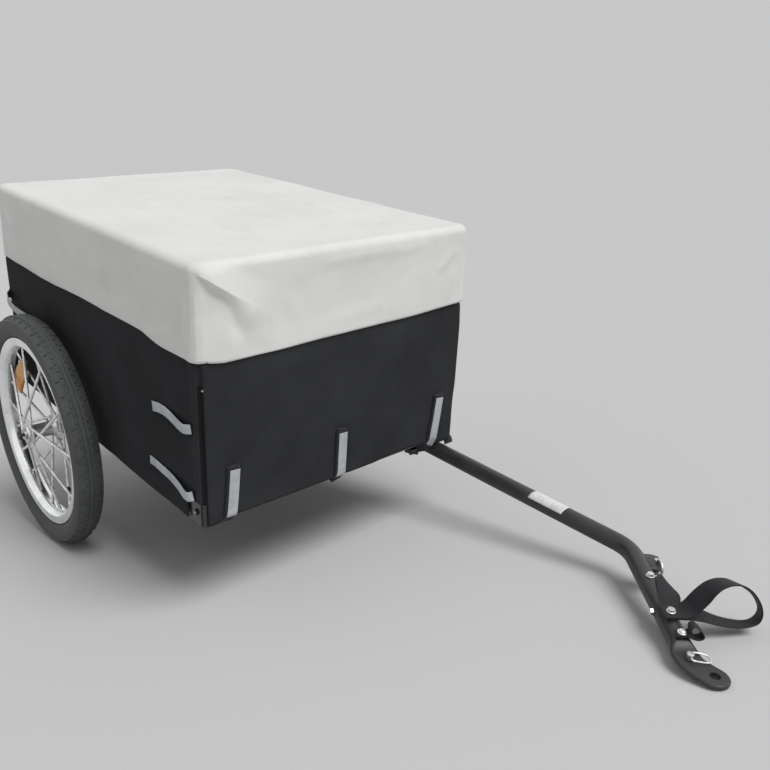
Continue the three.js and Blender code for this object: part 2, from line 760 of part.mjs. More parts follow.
function wheelReflector() {
  const half = THREE.MathUtils.degToRad(reflectorArc) / 2;
  const [outer, inner] = [reflectorRadius + reflectorHeight / 2, reflectorRadius - reflectorHeight / 2];
  const shape = new THREE.Shape();
  shape.absarc(0, 0, outer, -half, half);
  shape.absarc(0, 0, inner, half, -half, true);
  const plate = prism(shape, reflectorThickness, 6).rotateX(Math.PI / 2).translate(0, reflectorThickness / 2, 0);
  return plate.rotateY(-THREE.MathUtils.degToRad(reflectorAngle));
}

function wheel(side, sign) {
  const group = new THREE.Group();
  group.position.set(-axleBehind, sign * wheelY, axleZ);
  group.rotation.z = sign > 0 ? Math.PI : 0;
  level.add(group);
  piece(`${side}_tyre`, tyre(), tyreRubber, group);
  piece(`${side}_inner_tube`, innerTube(), tubeRubber, group);
  piece(`${side}_rim`, rim(), polishedAlloy, group);
  piece(`${side}_spoked_hub`, spokedHub(), zincSteel, group);
  piece(`${side}_outer_bearing`, bearing().translate(0, -hubHalfLength, 0), zincSteel, group);
  piece(`${side}_inner_bearing`, bearing().translate(0, hubHalfLength - bearingWidth, 0), zincSteel, group);
  piece(`${side}_wheel_reflector`, wheelReflector(), amberPlastic, group);
  const outerEnd = -hubHalfLength - fit - collarThickness;
  const innerEnd = wheelStandOff + axleInsertion;
  const shaft = rod(axleRadius, innerEnd - outerEnd, 'y', 0, (innerEnd + outerEnd) / 2, 0, 20);
  const collar = rod(collarRadius, collarThickness, 'y', 0, outerEnd + collarThickness / 2, 0, 20);
  const bore = rod(buttonRodRadius + fit, 2 * (buttonRodLength + fit), 'y', 0, outerEnd, 0, 12);
  piece(`${side}_stub_axle`, combine([shaft, collar], [bore]), zincSteel, group);
  const capInner = outerEnd - buttonTravel - fit;
  const cap = rod(buttonRadius, buttonThickness, 'y', 0, capInner - buttonThickness / 2, 0, 16);
  const stem = rod(buttonRodRadius, buttonRodLength, 'y', 0, capInner + buttonRodLength / 2 - fit, 0, 12);
  piece(`${side}_release_button`, combine([cap, stem]), blackPlastic, group);
}

// Bracket for the tow arm: two plates and an outer cheek, with a pivot hole and an open notch for the clamp.
function armBracket() {
  const tail = -armPivotBehind - bracketTail;
  const length = -bracketFront - tail;
  const middle = (tail - bracketFront) / 2;
  const innerY = armOffset - bracketInner;
  const cheekY = armOffset + armDiameter / 2 + fit + bracketPlate;
  const railEdge = bodyWidth / 2 - skinInset;
  const upperZ = -fit - bracketPlate / 2;
  const lowerZ = armZ - armDiameter / 2 - fit - bracketPlate / 2;
  const upper = box(length, railEdge - innerY, bracketPlate, middle, (railEdge + innerY) / 2, upperZ);
  const lower = box(length, cheekY - innerY, bracketPlate, middle, (cheekY + innerY) / 2, lowerZ);
  const cheekHeight = upperZ - lowerZ + bracketPlate;
  const cheekX = -bracketFront - cheekLength / 2;
  const cheekMiddle = cheekY - bracketPlate / 2;
  const cheek = box(cheekLength, bracketPlate, cheekHeight, cheekX, cheekMiddle, (upperZ + lowerZ) / 2);
  const reach = 2 * cheekHeight;
  const pivot = rod(pivotBoltRadius + boltClearance, reach, 'z', -armPivotBehind, armOffset, armZ);
  const clamp = rod(clampBoltRadius + boltClearance, reach, 'z', clampAhead - armPivotBehind, armOffset, armZ);
  const half = clampBoltRadius + boltClearance;
  const arc = new THREE.Shape();
  const swing = -THREE.MathUtils.degToRad(clampSwing);
  arc.absarc(0, 0, clampAhead + half, 0, swing, true);
  arc.absarc(0, 0, clampAhead - half, swing, 0, false);
  const notch = prism(arc, reach, 6).translate(-armPivotBehind, armOffset, armZ - reach / 2);
  return combine([upper, lower, cheek], [pivot, clamp, notch]);
}

function hexBolt(radius, headRadius, bottom, top, headHeight, nutHeight) {
  const [end, start] = [top + headHeight, bottom - nutHeight];
  const shank = rod(radius, end - start, 'z', 0, 0, (end + start) / 2, 8);
  const head = rod(headRadius, headHeight, 'z', 0, 0, top + headHeight / 2, 6);
  const nut = rod(headRadius, nutHeight, 'z', 0, 0, bottom - nutHeight / 2, 6);
  return combine([shank, head, nut]);
}

// Tow arm: one tube that is bent twice and pressed flat into an eye plate.
function towArmTube() {
  const tail = new THREE.Vector3(-armPivotBehind - armTail, armOffset, armZ);
  const path = bentPath([tail, armCorner, eyeCorner, eyeCentre], [armBendReach, eyeBendReach]);
  const legStart = path.curves[0].getLength() + path.curves[1].getLength();
  const roundUntil = armLegLength - eyeBendReach - flattenLength - overrun;
  const along = (station) => station.travelled - legStart + armBendReach;
  const stations = stationsOn(path, [1, 5, 24, 4, 1])
    .filter((station) => along(station) < armBendReach + fit || along(station) > roundUntil);
  const size = (station, wall) => {
    const distance = along(station);
    const height = 2 * (halfHeightAt(distance) - wall);
    return [Math.max(2 * (halfWidthAt(distance) - wall), height), height];
  };
  const outer = stations.map((s) => obround(s.point, s.heading, ...size(s, 0), armSides));
  const tipSteps = 4;
  for (let step = 1; step <= tipSteps; step++) {
    const angle = step / tipSteps * Math.PI / 2;
    const ahead = (eyeWidth - eyeThickness) / 2 * Math.sin(angle) + eyeThickness / 2 * step / tipSteps;
    const width = eyeThickness + (eyeWidth - eyeThickness) * Math.cos(angle);
    outer.push(obround(eyeCentre.clone().setX(eyeCentre.x + ahead), 0, width, eyeThickness, armSides));
  }
  const hollow = stations.filter((s) => size(s, armWall)[1] > eyeThickness);
  const bore = skin(hollow.map((s) => obround(s.point, s.heading, ...size(s, armWall), armSides)));
  const mouth = rod(armDiameter / 2 - armWall, armTail / 2, 'x', tail.x, armOffset, armZ, armSides);
  const across = outward.clone().multiplyScalar(armDiameter);
  const boltHole = strapBoltRadius + boltClearance;
  const crossPlace = onLeg(crossBoltDistance);
  const pivotPlace = new THREE.Vector3(-armPivotBehind, armOffset, armZ);
  const clampPlace = new THREE.Vector3(clampAhead - armPivotBehind, armOffset, armZ);
  const legHoles = [upperBoltDistance, loopBoltDistance, keeperBoltDistance];
  const holes = [
    verticalHole(eyeHoleRadius, eyeCentre, 18),
    verticalHole(pivotBoltRadius + boltClearance, pivotPlace, 12),
    verticalHole(clampBoltRadius + boltClearance, clampPlace, 12),
    verticalHole(hitchPinRadius + boltClearance, pinPlace, 12),
    strut(crossPlace.clone().sub(across), crossPlace.clone().add(across), boltHole, 8),
    ...legHoles.map((distance) => verticalHole(boltHole, onLeg(distance))),
  ];
  return combine([skin(outer)], [bore, mouth, ...holes]);
}

// Places along the arm's second leg, as distances from its corner
const onLeg = (distance, out = 0, height = 0) => armCorner.clone()
  .addScaledVector(legDirection, distance).addScaledVector(outward, out).addScaledVector(up, height);
const pinPlace = new THREE.Vector3(eyeCentre.x - hitchPinBehindEye, eyeCentre.y, armZ)
  .addScaledVector(outward, hitchPinOffset);

function flatness(distance) {
  const flatEnd = armLegLength - eyeBendReach;
  return THREE.MathUtils.smoothstep(distance, flatEnd - flattenLength, flatEnd);
}

function halfHeightAt(distance) {
  return THREE.MathUtils.lerp(armDiameter, eyeThickness, flatness(distance)) / 2;
}

function halfWidthAt(distance) {
  return THREE.MathUtils.lerp(armDiameter, eyeWidth, flatness(distance)) / 2;
}

function verticalHole(radius, point, sides = 8) {
  return rod(radius, armDiameter * 2, 'z', point.x, point.y, armZ, sides);
}

// Bolt through the leg from top to bottom, with its nut; stack is what lies between tube and head.
function legBolt(distance, stack, width = 2 * strapBoltHead) {
  const reach = halfHeightAt(distance - width / 2) + fit;
  const bolt = hexBolt(strapBoltRadius, strapBoltHead, -reach, reach + stack, strapBoltHeight, strapBoltHeight);
  return bolt.rotateZ(legHeading).translate(...onLeg(distance).toArray());
}

function crossBolt() {
  const reach = halfWidthAt(crossBoltDistance) + fit;
  const bolt = hexBolt(strapBoltRadius, strapBoltHead, -reach, reach, strapBoltHeight, strapBoltHeight);
  return bolt.rotateX(-Math.PI / 2).rotateZ(legHeading).translate(...onLeg(crossBoltDistance).toArray());
}

// Lug on the outer side of the bend, and the steel ring that passes through it.
function strapLug() {
  const root = armDiameter / 2 + fit;
  const start = lugDistance - lugBase / 2 - 2 * fit;
  const base = polygon([
    [start, root], [start + lugBase, root],
    [lugDistance + lugRadius, lugReach], [lugDistance - lugRadius, lugReach],
  ]);
  const body = prism(base, lugHeight).translate(0, 0, -lugHeight / 2);
  const eye = rod(lugRadius, lugHeight, 'z', lugDistance, lugReach, 0, 20);
  const hole = rod(lugHoleRadius, 2 * lugHeight, 'z', lugDistance, lugReach, 0, 20);
  return combine([body, eye], [hole]).rotateZ(legHeading).translate(...armCorner.toArray());
}

function ringPlace() {
  const clearOfLug = Math.sqrt((ringRadius - ringWire) ** 2 - (lugHeight / 2) ** 2);
  return lugDistance + lugHoleRadius - ringSlack + clearOfLug;
}

function strapRing() {
  const ring = new THREE.TorusGeometry(ringRadius, ringWire, 6, 18).rotateX(Math.PI / 2);
  return ring.rotateZ(legHeading).translate(...onLeg(ringPlace(), lugReach).toArray());
}

// Closed band through [out, up] points above the bolt; its two layers lie pressed together under the bolt head.
function loopBand(points, distance, thickness, width) {
  const base = halfHeightAt(distance - width / 2) + fit + thickness / 2;
  const lift = thickness + fit;
  const fold = strapBoltHead * 2;
  const layers = [
    [fold, base], [-fold, base], [-fold - lift / 2, base + lift / 2], [-fold, base + lift], [fold, base + lift],
  ];
  const free = points.map(([out, height]) => [out, base + lift / 2 + height]);
  return band([...layers, ...free], thickness, width, true).translate(...onLeg(distance).toArray());
}

// Tail of the safety strap: flat webbing that turns from upright at the ring to level on the tube.
function strapTail() {
  const base = halfHeightAt(loopBoltDistance - safetyStrapWidth / 2) + fit + safetyStrapThickness / 2;
  const near = ringPlace() + ringRadius + ringWire + fit;
  const span = loopBoltDistance + safetyStrapWidth / 2 - near;
  const steps = 10;
  const rings = [];
  for (let i = 0; i <= steps; i++) {
    const share = i / steps;
    const turn = Math.PI / 2 * (1 - THREE.MathUtils.smoothstep(share, 0, tailTurnShare));
    const out = lugReach * (1 - THREE.MathUtils.smoothstep(share, ...tailInwardShares));
    const height = base * THREE.MathUtils.smoothstep(share, 0, tailRiseShare);
    const across = outward.clone().multiplyScalar(Math.cos(turn)).addScaledVector(up, Math.sin(turn));
    const through = up.clone().multiplyScalar(Math.cos(turn)).addScaledVector(outward, -Math.sin(turn));
    const centre = onLeg(near + span * share, out, height);
    rings.push([[1, -1], [1, 1], [-1, 1], [-1, -1]].map(([side, face]) => centre.clone()
      .addScaledVector(across, side * safetyStrapWidth / 2)
      .addScaledVector(through, face * safetyStrapThickness / 2)));
  }
  return skin(rings);
}

function safetyStrap() {
  const points = [
    ...loopRiseShares.map(([out, height]) => [out * loopOut, height * loopUp]),
    ...loopReturnShares.map(([out, depth]) => [out * loopOut, -depth * loopDrop]),
  ];
  const loop = loopBand(points, loopBoltDistance, safetyStrapThickness, safetyStrapWidth);
  return combine([loop, strapTail()], [verticalHole(strapBoltRadius + boltClearance, onLeg(loopBoltDistance))]);
}

function keeperLoop() {
  const points = keeperShares.map(([out, height]) => [out * keeperOut, height * keeperUp]);
  const loop = loopBand(points, keeperBoltDistance, safetyStrapThickness, keeperWidth);
  return combine([loop], [verticalHole(strapBoltRadius + boltClearance, onLeg(keeperBoltDistance))]);
}

// Hitch pin with a pull ring hinged in its head.
function hitchPin() {
  const seat = eyeThickness / 2 + fit;
  const bottom = -eyeThickness / 2 - hitchPinBelow;
  const shaft = rod(hitchPinRadius, seat - bottom, 'z', 0, 0, (seat + bottom) / 2, 14);
  const head = rod(hitchPinHead, hitchPinHeadHeight, 'z', 0, 0, seat + hitchPinHeadHeight / 2, 16);
  const crossHole = rod(pullRingWire + fit, hitchPinHead * 3, 'x', 0, 0, seat + hitchPinHeadHeight / 2, 10);
  return combine([shaft, head], [crossHole]).rotateZ(legHeading).translate(...pinPlace.toArray());
}

function pullRing() {
  const seat = eyeThickness / 2 + fit + hitchPinHeadHeight / 2;
  const droop = Math.tan(THREE.MathUtils.degToRad(pullRingDroop));
  const points = pullRingShares.map(([along, out]) => new THREE.Vector3(along * pullRingHalfWidth,
    out * pullRingReach, -out * pullRingReach * droop));
  const curve = new THREE.CatmullRomCurve3(points, true, 'centripetal');
  const steps = 24;
  const sideAngles = [0, 1, 2, 3, 4].map((side) => side / 5 * 2 * Math.PI);
  const frames = curve.computeFrenetFrames(steps, true);
  const rings = [];
  for (let i = 0; i < steps; i++) {
    const centre = curve.getPointAt(i / steps);
    rings.push(sideAngles.map((angle) => centre.clone()
      .addScaledVector(frames.normals[i], pullRingWire * Math.cos(angle))
      .addScaledVector(frames.binormals[i], pullRingWire * Math.sin(angle))));
  }
  return skin(rings, true).translate(0, 0, seat).rotateZ(legHeading).translate(...pinPlace.toArray());
}

// Star knob on a bolt that swings out of the bracket's notch together with the arm.
function clampKnob() {
  const underside = armZ - armDiameter / 2 - 2 * fit - bracketPlate;
  const outline = new THREE.Shape();
  const steps = 36;
  for (let i = 0; i < steps; i++) {
    const angle = i / steps * 2 * Math.PI;
    const radius = knobRadius * (1 - knobLobeShare + knobLobeShare * Math.cos(knobLobes * angle));
    const [x, y] = [radius * Math.cos(angle), radius * Math.sin(angle)];
    if (i === 0) outline.moveTo(x, y);
    else outline.lineTo(x, y);
  }
  const knob = prism(outline, knobHeight).translate(0, 0, underside - knobHeight);
  const bottom = underside - overrun;
  const shank = rod(clampBoltRadius, boltHeadHeight - bottom, 'z', 0, 0, (boltHeadHeight + bottom) / 2, 12);
  const head = rod(clampBoltRadius * boltHeadShare, boltHeadHeight, 'z', 0, 0, boltHeadHeight / 2, 6);
  return combine([knob, shank, head]).translate(clampAhead - armPivotBehind, armOffset, 0);
}

function pivotBolt() {
  const underside = armZ - armDiameter / 2 - 2 * fit - bracketPlate;
  const headRadius = pivotBoltRadius * boltHeadShare;
  const bolt = hexBolt(pivotBoltRadius, headRadius, underside, 0, boltHeadHeight, boltHeadHeight);
  return bolt.translate(-armPivotBehind, armOffset, 0);
}

function towArm() {
  const strapStack = 2 * (safetyStrapThickness + fit);
  piece('arm_bracket', armBracket(), blackSteel);
  piece('arm_pivot_bolt', pivotBolt(), zincSteel);
  piece('tow_arm_tube', towArmTube(), blackSteel);
  piece('clamp_knob', clampKnob(), blackPlastic);
  piece('strap_lug', strapLug(), blackSteel);
  piece('strap_ring', strapRing(), zincSteel);
  piece('safety_strap', safetyStrap(), blackNylon);
  piece('keeper_loop', keeperLoop(), blackNylon);
  piece('upper_leg_bolt', legBolt(upperBoltDistance, fit), zincSteel);
  piece('cross_bolt', crossBolt(), zincSteel);
  piece('strap_loop_bolt', legBolt(loopBoltDistance, strapStack, safetyStrapWidth), zincSteel);
  piece('keeper_bolt', legBolt(keeperBoltDistance, strapStack, keeperWidth), zincSteel);
  piece('hitch_pin', hitchPin(), zincSteel);
  piece('pull_ring', pullRing(), zincSteel);
}

// Sets the level trailer down on its tyres and the tip of the eye plate, over the origin.
function standOnGround() {
  const tipX = eyeCentre.x + eyeWidth / 2;
  const tipZ = armZ - eyeThickness / 2;
  const ahead = tipX + axleBehind;
  const above = axleZ - tipZ;
  level.rotation.y = Math.asin(tyreRadius / Math.hypot(ahead, above)) - Math.atan2(above, ahead);
  trailer.updateMatrixWorld(true);
  const bounds = new THREE.Box3().setFromObject(trailer, true);
  const middle = bounds.getCenter(new THREE.Vector3());
  level.position.set(-middle.x, -middle.y, -bounds.min.z);
  trailer.updateMatrixWorld(true);
}

baseFrame();
upperFrame();
cornerShoes();
piece('floor_board', floorBoard(), plywood);
piece('fabric_tub', fabricTub(), blackNylon);
straps();
rainCover();
wheel('right', -1);
wheel('left', 1);
towArm();
standOnGround();

export default trailer;
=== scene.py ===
"""Cargo trailer for a bicycle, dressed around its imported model.

Lengths are in millimetres in the trailer's own level frame: X ahead of the front panel, Y to the left of
the middle, Z above the underside of the frame. place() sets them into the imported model's frame, where
the trailer stands nose down on its tyres and the tip of its tow arm. Materials and node trees use metres.
"""
import json
import math

import bmesh
import bpy
import numpy as np
from mathutils import Matrix, Vector, noise

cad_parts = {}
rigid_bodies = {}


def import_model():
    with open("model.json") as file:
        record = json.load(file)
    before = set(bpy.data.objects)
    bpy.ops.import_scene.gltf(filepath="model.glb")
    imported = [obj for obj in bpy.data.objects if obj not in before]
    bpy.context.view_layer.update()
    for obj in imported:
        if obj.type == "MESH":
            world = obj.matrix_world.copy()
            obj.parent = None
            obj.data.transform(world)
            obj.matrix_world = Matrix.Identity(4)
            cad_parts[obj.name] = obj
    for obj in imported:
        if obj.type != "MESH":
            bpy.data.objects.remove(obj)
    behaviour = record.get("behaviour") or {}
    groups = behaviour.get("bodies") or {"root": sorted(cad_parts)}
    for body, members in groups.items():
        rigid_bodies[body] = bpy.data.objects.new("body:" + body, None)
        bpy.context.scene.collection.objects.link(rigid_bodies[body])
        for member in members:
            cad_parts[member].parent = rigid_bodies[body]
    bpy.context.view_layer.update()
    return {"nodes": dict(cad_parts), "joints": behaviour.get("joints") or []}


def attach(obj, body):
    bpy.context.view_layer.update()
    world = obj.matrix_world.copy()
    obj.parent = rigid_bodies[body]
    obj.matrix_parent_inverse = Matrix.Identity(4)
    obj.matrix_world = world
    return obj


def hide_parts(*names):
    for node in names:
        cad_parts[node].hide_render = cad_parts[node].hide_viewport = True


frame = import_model()

# Body
BODY_LENGTH, BODY_WIDTH, BODY_HEIGHT = 670.0, 475.0, 357.0
HALF_X, HALF_Y = BODY_LENGTH / 2, BODY_WIDTH / 2
CORNERS = ((1, 1), (-1, 1), (-1, -1), (1, -1))
SKIN_INSET, POST_RADIUS = 1.9, 9.5
RING_INSET = SKIN_INSET + POST_RADIUS
RING_Z = BODY_HEIGHT - RING_INSET
FLOOR_Z = 20.3
SHOE_REACH, SHOE_TOP = 35.9, 33.6

# Cover
COVER_TOP, COVER_DEPTH, COVER_WALL = 359.7, 124.0, 1.2
COVER_EASE_TOP, COVER_EASE_HEM = 3.2, 4.5
COVER_CORNER, COVER_SHOULDER = 16.0, 11.0

# Wheels
AXLE_X, AXLE_Z, WHEEL_Y = -465.0, -22.3, 279.5

# Tow arm: a straight stretch, a leg turned aside, and an eye pressed flat at its end
ARM_RADIUS, ARM_Y, ARM_Z = 12.7, 206.0, -17.3
ARM_TAIL_X, ARM_CORNER_X, LEG_LENGTH, HEADING = -112.0, 378.0, 228.0, math.radians(-40.9)
EYE_AHEAD, EYE_WIDTH, EYE_THICKNESS, EYE_RADIUS = 29.5, 33.0, 6.0, 6.0
FLAT_FROM, FLAT_TO = 189.0, 214.0

UPRIGHT = np.array([0, 0, 1])
LEG = np.array([math.cos(HEADING), math.sin(HEADING), 0])
OUT = np.array([-math.sin(HEADING), math.cos(HEADING), 0])
ARM_CORNER = np.array([ARM_CORNER_X, ARM_Y, ARM_Z])
EYE_CORNER = ARM_CORNER + LEG * LEG_LENGTH
EYE = EYE_CORNER + (EYE_AHEAD, 0, 0)
PIN = EYE + (-34, 0, 0) + OUT * 3


def unit(vectors):
    """Vectors brought to length one."""
    vectors = np.asarray(vectors, float)
    return vectors / np.linalg.norm(vectors, axis=-1, keepdims=True)


JOINTS = {joint["name"]: joint for joint in frame["joints"]}
UP = unit(JOINTS["cover_lift"]["axis"])
TURN = np.column_stack([(UP[2], 0, -UP[0]), (0, 1, 0), UP])
ORIGIN = np.array(JOINTS["right_wheel_spin"]["pos_m"]) - TURN @ np.array([AXLE_X, -WHEEL_Y, AXLE_Z]) / 1000


def place(points):
    """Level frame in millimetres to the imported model's frame in metres."""
    return np.asarray(points, float) / 1000 @ TURN.T + ORIGIN


def smooth(low, high, value):
    share = np.clip((np.asarray(value, float) - low) / (high - low), 0, 1)
    return share * share * (3 - 2 * share)


def bump(away, width):
    """1 at no distance, falling softly to nothing a few widths away."""
    return np.exp(-(away / width) ** 2)


def turns(count):
    return np.arange(count) * 2 * math.pi / count


def running(steps):
    """Distance travelled at the start and after each step."""
    return np.concatenate([[0], np.cumsum(steps)])


def ripple(points, size, seed, octaves=2):
    """Soft noise from -1 to 1 at each point; size is its rough wavelength."""
    shift = Vector((seed * 17.3, seed * -9.1, seed * 5.7))
    found = np.zeros(len(points))
    for octave in range(octaves):
        scale = 2 ** octave / size
        found += [noise.noise(Vector(p) * scale + shift) / 2 ** octave for p in points]
    return found


def eased(table, value):
    """Smooth steps through a table of [place, height] pairs."""
    places, heights = np.array(table, float).T
    value = np.clip(value, places[0], places[-1])
    i = np.clip(np.searchsorted(places, value) - 1, 0, len(places) - 2)
    return heights[i] + (heights[i + 1] - heights[i]) * smooth(places[i], places[i + 1], value)


def show(name, data):
    made = bpy.data.objects.new(name, data)
    bpy.context.scene.collection.objects.link(made)
    return made


# Camera at the photograph's viewpoint: place, turn in degrees, and focal length in points of the picture
CAMERA_AT, AZIMUTH, PITCH, ROLL = (844.11, -704.25, 604.41), 47.08, 22.36, 2.78
FOCAL, PICTURE, SENSOR = 814.6, 770, 36.0


def make_camera():
    a, e, r = (math.radians(angle) for angle in (AZIMUTH, PITCH, ROLL))
    back = np.array([math.sin(a) * math.cos(e), -math.cos(a) * math.cos(e), math.sin(e)])
    right = np.array([math.cos(a), math.sin(a), 0])
    top = np.cross(back, right)
    matrix = np.identity(4)
    matrix[:3, :3] = TURN @ np.column_stack([math.cos(r) * right + math.sin(r) * top,
                                             math.cos(r) * top - math.sin(r) * right, back])
    matrix[:3, 3] = place(CAMERA_AT)
    data = bpy.data.cameras.new("camera")
    data.sensor_width, data.lens = SENSOR, FOCAL / PICTURE * SENSOR
    data.clip_start, data.clip_end = 0.05, 60
    camera = show("camera", data)
    camera.matrix_world = Matrix(matrix.tolist())
    bpy.context.scene.camera = camera


make_camera()


def add_node(tree, kind, inputs, settings):
    """A node with its settings and inputs; an input is a plain value or the socket that feeds it."""
    node = tree.nodes.new(kind)
    for key, value in settings.items():
        setattr(node, key, value)
    for key, value in inputs.items():
        if isinstance(value, bpy.types.NodeSocket):
            tree.links.new(value, node.inputs[key])
        else:
            node.inputs[key].default_value = value
    return node


# Shader maths: a socket that takes part in sums, and a net of nodes that makes them
class Value:
    def __init__(self, net, socket):
        self.net, self.socket = net, socket

    def __add__(self, other):
        return self.net.maths("ADD", self, other)

    def __mul__(self, other):
        return self.net.maths("MULTIPLY", self, other)

    __radd__, __rmul__ = __add__, __mul__


class Net:
    SOCKETS = {"metallic": "Metallic", "normal": "Normal", "sheen": "Sheen Weight",
               "sheen_roughness": "Sheen Roughness", "coat": "Coat Weight", "coat_roughness": "Coat Roughness",
               "specular": "Specular IOR Level", "emission": "Emission Color", "glow": "Emission Strength"}

    def __init__(self, name):
        self.material = bpy.data.materials.new(name)
        self.material.use_nodes = True
        self.tree = self.material.node_tree
        self.tree.nodes.clear()

    def node(self, kind, inputs=(), out=0, **settings):
        plain = {key: value.socket if isinstance(value, Value) else value for key, value in dict(inputs).items()}
        return Value(self, add_node(self.tree, kind, plain, settings).outputs[out])

    def maths(self, operation, *values):
        return self.node("ShaderNodeMath", enumerate(values), operation=operation)

    def clamp(self, value, low, high):
        return self.node("ShaderNodeMapRange", {"Value": value, "From Min": low, "From Max": high},
                         interpolation_type="SMOOTHSTEP")

    def mix(self, factor, *colours):
        inputs = {"Factor": factor}
        for socket, colour in zip((6, 7), colours):
            inputs[socket] = colour if isinstance(colour, Value) else (*colour, 1)
        return self.node("ShaderNodeMix", inputs, 2, data_type="RGBA")

    def coordinates(self, kind="Object"):
        return self.node("ShaderNodeTexCoord", out=kind)

    def part(self, vector, axis):
        return self.node("ShaderNodeSeparateXYZ", {0: vector}, axis)

    def noise(self, vector, scale, detail=3.0, roughness=0.5, distortion=0.0):
        return self.node("ShaderNodeTexNoise", {"Vector": vector, "Scale": scale, "Detail": detail,
                                                "Roughness": roughness, "Distortion": distortion})

    def wave(self, value, pitch):
        """0 to 1 and back once every pitch."""
        return self.maths("SINE", value * (2 * math.pi / pitch)) * 0.5 + 0.5

    def grid(self, vector, pitch, axes=(0, 1)):
        return self.wave(self.part(vector, axes[0]), pitch) * self.wave(self.part(vector, axes[1]), pitch)

    def bump(self, height, distance, strength=1.0, **below):
        return self.node("ShaderNodeBump", {"Height": height, "Distance": distance, "Strength": strength, **below})

    def surface(self, colour, roughness, **sockets):
        inputs = {"Base Color": colour, "Roughness": roughness}
        inputs.update({self.SOCKETS[key]: value for key, value in sockets.items()})
        shader = self.node("ShaderNodeBsdfPrincipled", inputs)
        add_node(self.tree, "ShaderNodeOutputMaterial", {0: shader.socket}, {})
        return self.material


def tint(colour, scale, lift=0.0):
    return tuple(part * scale + lift for part in colour)


def canvas_material():
    net = Net("cover_canvas")
    uv, space = net.coordinates("UV"), net.coordinates()
    threads = net.grid(uv, 0.0011)
    blotch = net.noise(space, 7.0, 4.0, 0.6)
    grime = net.clamp(net.noise(space, 19.0, 5.0, 0.65), 0.45, 0.8)
    clean = net.mix(net.clamp(blotch, 0.3, 0.7), (0.735, 0.738, 0.722), (0.79, 0.79, 0.778))
    colour = net.mix(grime * 0.32, clean, (0.60, 0.60, 0.575))
    crumple = net.bump(net.noise(space, 26.0), 0.0016, 0.5)
    fine = net.bump(threads + net.noise(space, 900.0, 2.0) * 0.4, 0.00012, 0.6, Normal=crumple)
    return net.surface(colour, blotch * 0.12 + 0.72, normal=fine, sheen=0.12, sheen_roughness=0.6, specular=0.3)


def nylon_material(name, shade):
    net = Net(name)
    uv, space = net.coordinates("UV"), net.coordinates()
    threads = net.maths("MAXIMUM", net.wave(net.part(uv, 0), 0.0013), net.wave(net.part(uv, 1), 0.0013))
    blotch = net.noise(space, 9.0, 4.0, 0.6)
    dust = net.clamp(net.noise(space, 30.0, 6.0, 0.7), 0.55, 0.8)
    colour = net.mix(net.clamp(blotch, 0.3, 0.7), tint((0.0225, 0.0232, 0.0252), shade),
                     tint((0.0305, 0.0315, 0.0342), shade))
    colour = net.mix(dust * 0.12, colour, (0.07, 0.07, 0.07))
    crumple = net.bump(net.noise(space, 34.0, 4.0, 0.55), 0.0013, 0.45)
    fine = net.bump(threads, 0.00018, 0.7, Normal=crumple)
    return net.surface(colour, blotch * 0.2 + 0.66, normal=fine, sheen=0.02, sheen_roughness=0.45, specular=0.03)


def webbing_material():
    net = Net("black_webbing")
    uv, space = net.coordinates("UV"), net.coordinates()
    along = net.part(uv, 1)
    ribs = net.wave(net.part(uv, 0) + net.wave(along, 0.0032) * 0.0006, 0.0021)
    shade = net.noise(space, 60.0, 4.0, 0.6)
    colour = net.mix(ribs * 0.6 + shade * 0.4, (0.014, 0.0145, 0.0157), (0.040, 0.041, 0.0455))
    normal = net.bump(ribs * 0.7 + net.wave(along, 0.0016) * 0.3, 0.00035, 0.9)
    return net.surface(colour, 0.72, normal=normal, sheen=0.1, sheen_roughness=0.4, specular=0.18)


def tape_material():
    net = Net("reflective_tape")
    ribs = net.grid(net.coordinates("UV"), 0.0018)
    worn = net.clamp(net.noise(net.coordinates(), 45.0, 5.0, 0.65), 0.4, 0.75)
    colour = net.mix(worn, (0.50, 0.525, 0.555), (0.39, 0.41, 0.435))
    return net.surface(colour, worn * 0.2 + 0.42, normal=net.bump(ribs, 0.00015, 0.6), specular=0.35, metallic=0.1)


def painted_steel(name, colour, roughness):
    net = Net(name)
    space = net.coordinates()
    worn = net.clamp(net.noise(space, 55.0, 6.0, 0.7), 0.62, 0.72)
    dust = net.clamp(net.noise(space, 14.0, 4.0, 0.6), 0.4, 0.75)
    paint = net.mix(dust * 0.35, colour, tint(colour, 2.6, 0.012))
    shown = net.mix(worn * 0.25, paint, (0.16, 0.16, 0.165))
    peel = net.bump(net.noise(space, 420.0, 2.0), 0.0002, 0.35)
    return net.surface(shown, dust * 0.2 + roughness, normal=peel, coat=0.08, coat_roughness=0.3)


def polished_alloy():
    net = Net("polished_alloy")
    space = net.coordinates()
    film = net.noise(space, 24.0, 5.0, 0.65)
    spots = net.clamp(net.noise(space, 140.0, 4.0, 0.7), 0.6, 0.75)
    colour = net.mix(net.clamp(film, 0.35, 0.7), (0.88, 0.89, 0.90), (0.72, 0.73, 0.74))
    colour = net.mix(spots * 0.4, colour, (0.38, 0.37, 0.36))
    normal = net.bump(net.noise(space, 90.0), 0.0003, 0.25)
    return net.surface(colour, film * 0.22 + 0.12 + spots * 0.15, metallic=1.0, normal=normal)


def tyre_material():
    net = Net("tyre_rubber")
    space = net.coordinates()
    dust = net.clamp(net.noise(space, 20.0, 5.0, 0.65), 0.35, 0.75)
    fine = net.noise(space, 240.0, 4.0, 0.6)
    colour = net.mix(dust, (0.062, 0.065, 0.0655), (0.094, 0.097, 0.097))
    colour = net.mix(net.clamp(fine, 0.55, 0.8) * 0.4, colour, (0.10, 0.10, 0.10))
    return net.surface(colour, dust * 0.2 + 0.62, normal=net.bump(fine, 0.0003, 0.35), specular=0.35)


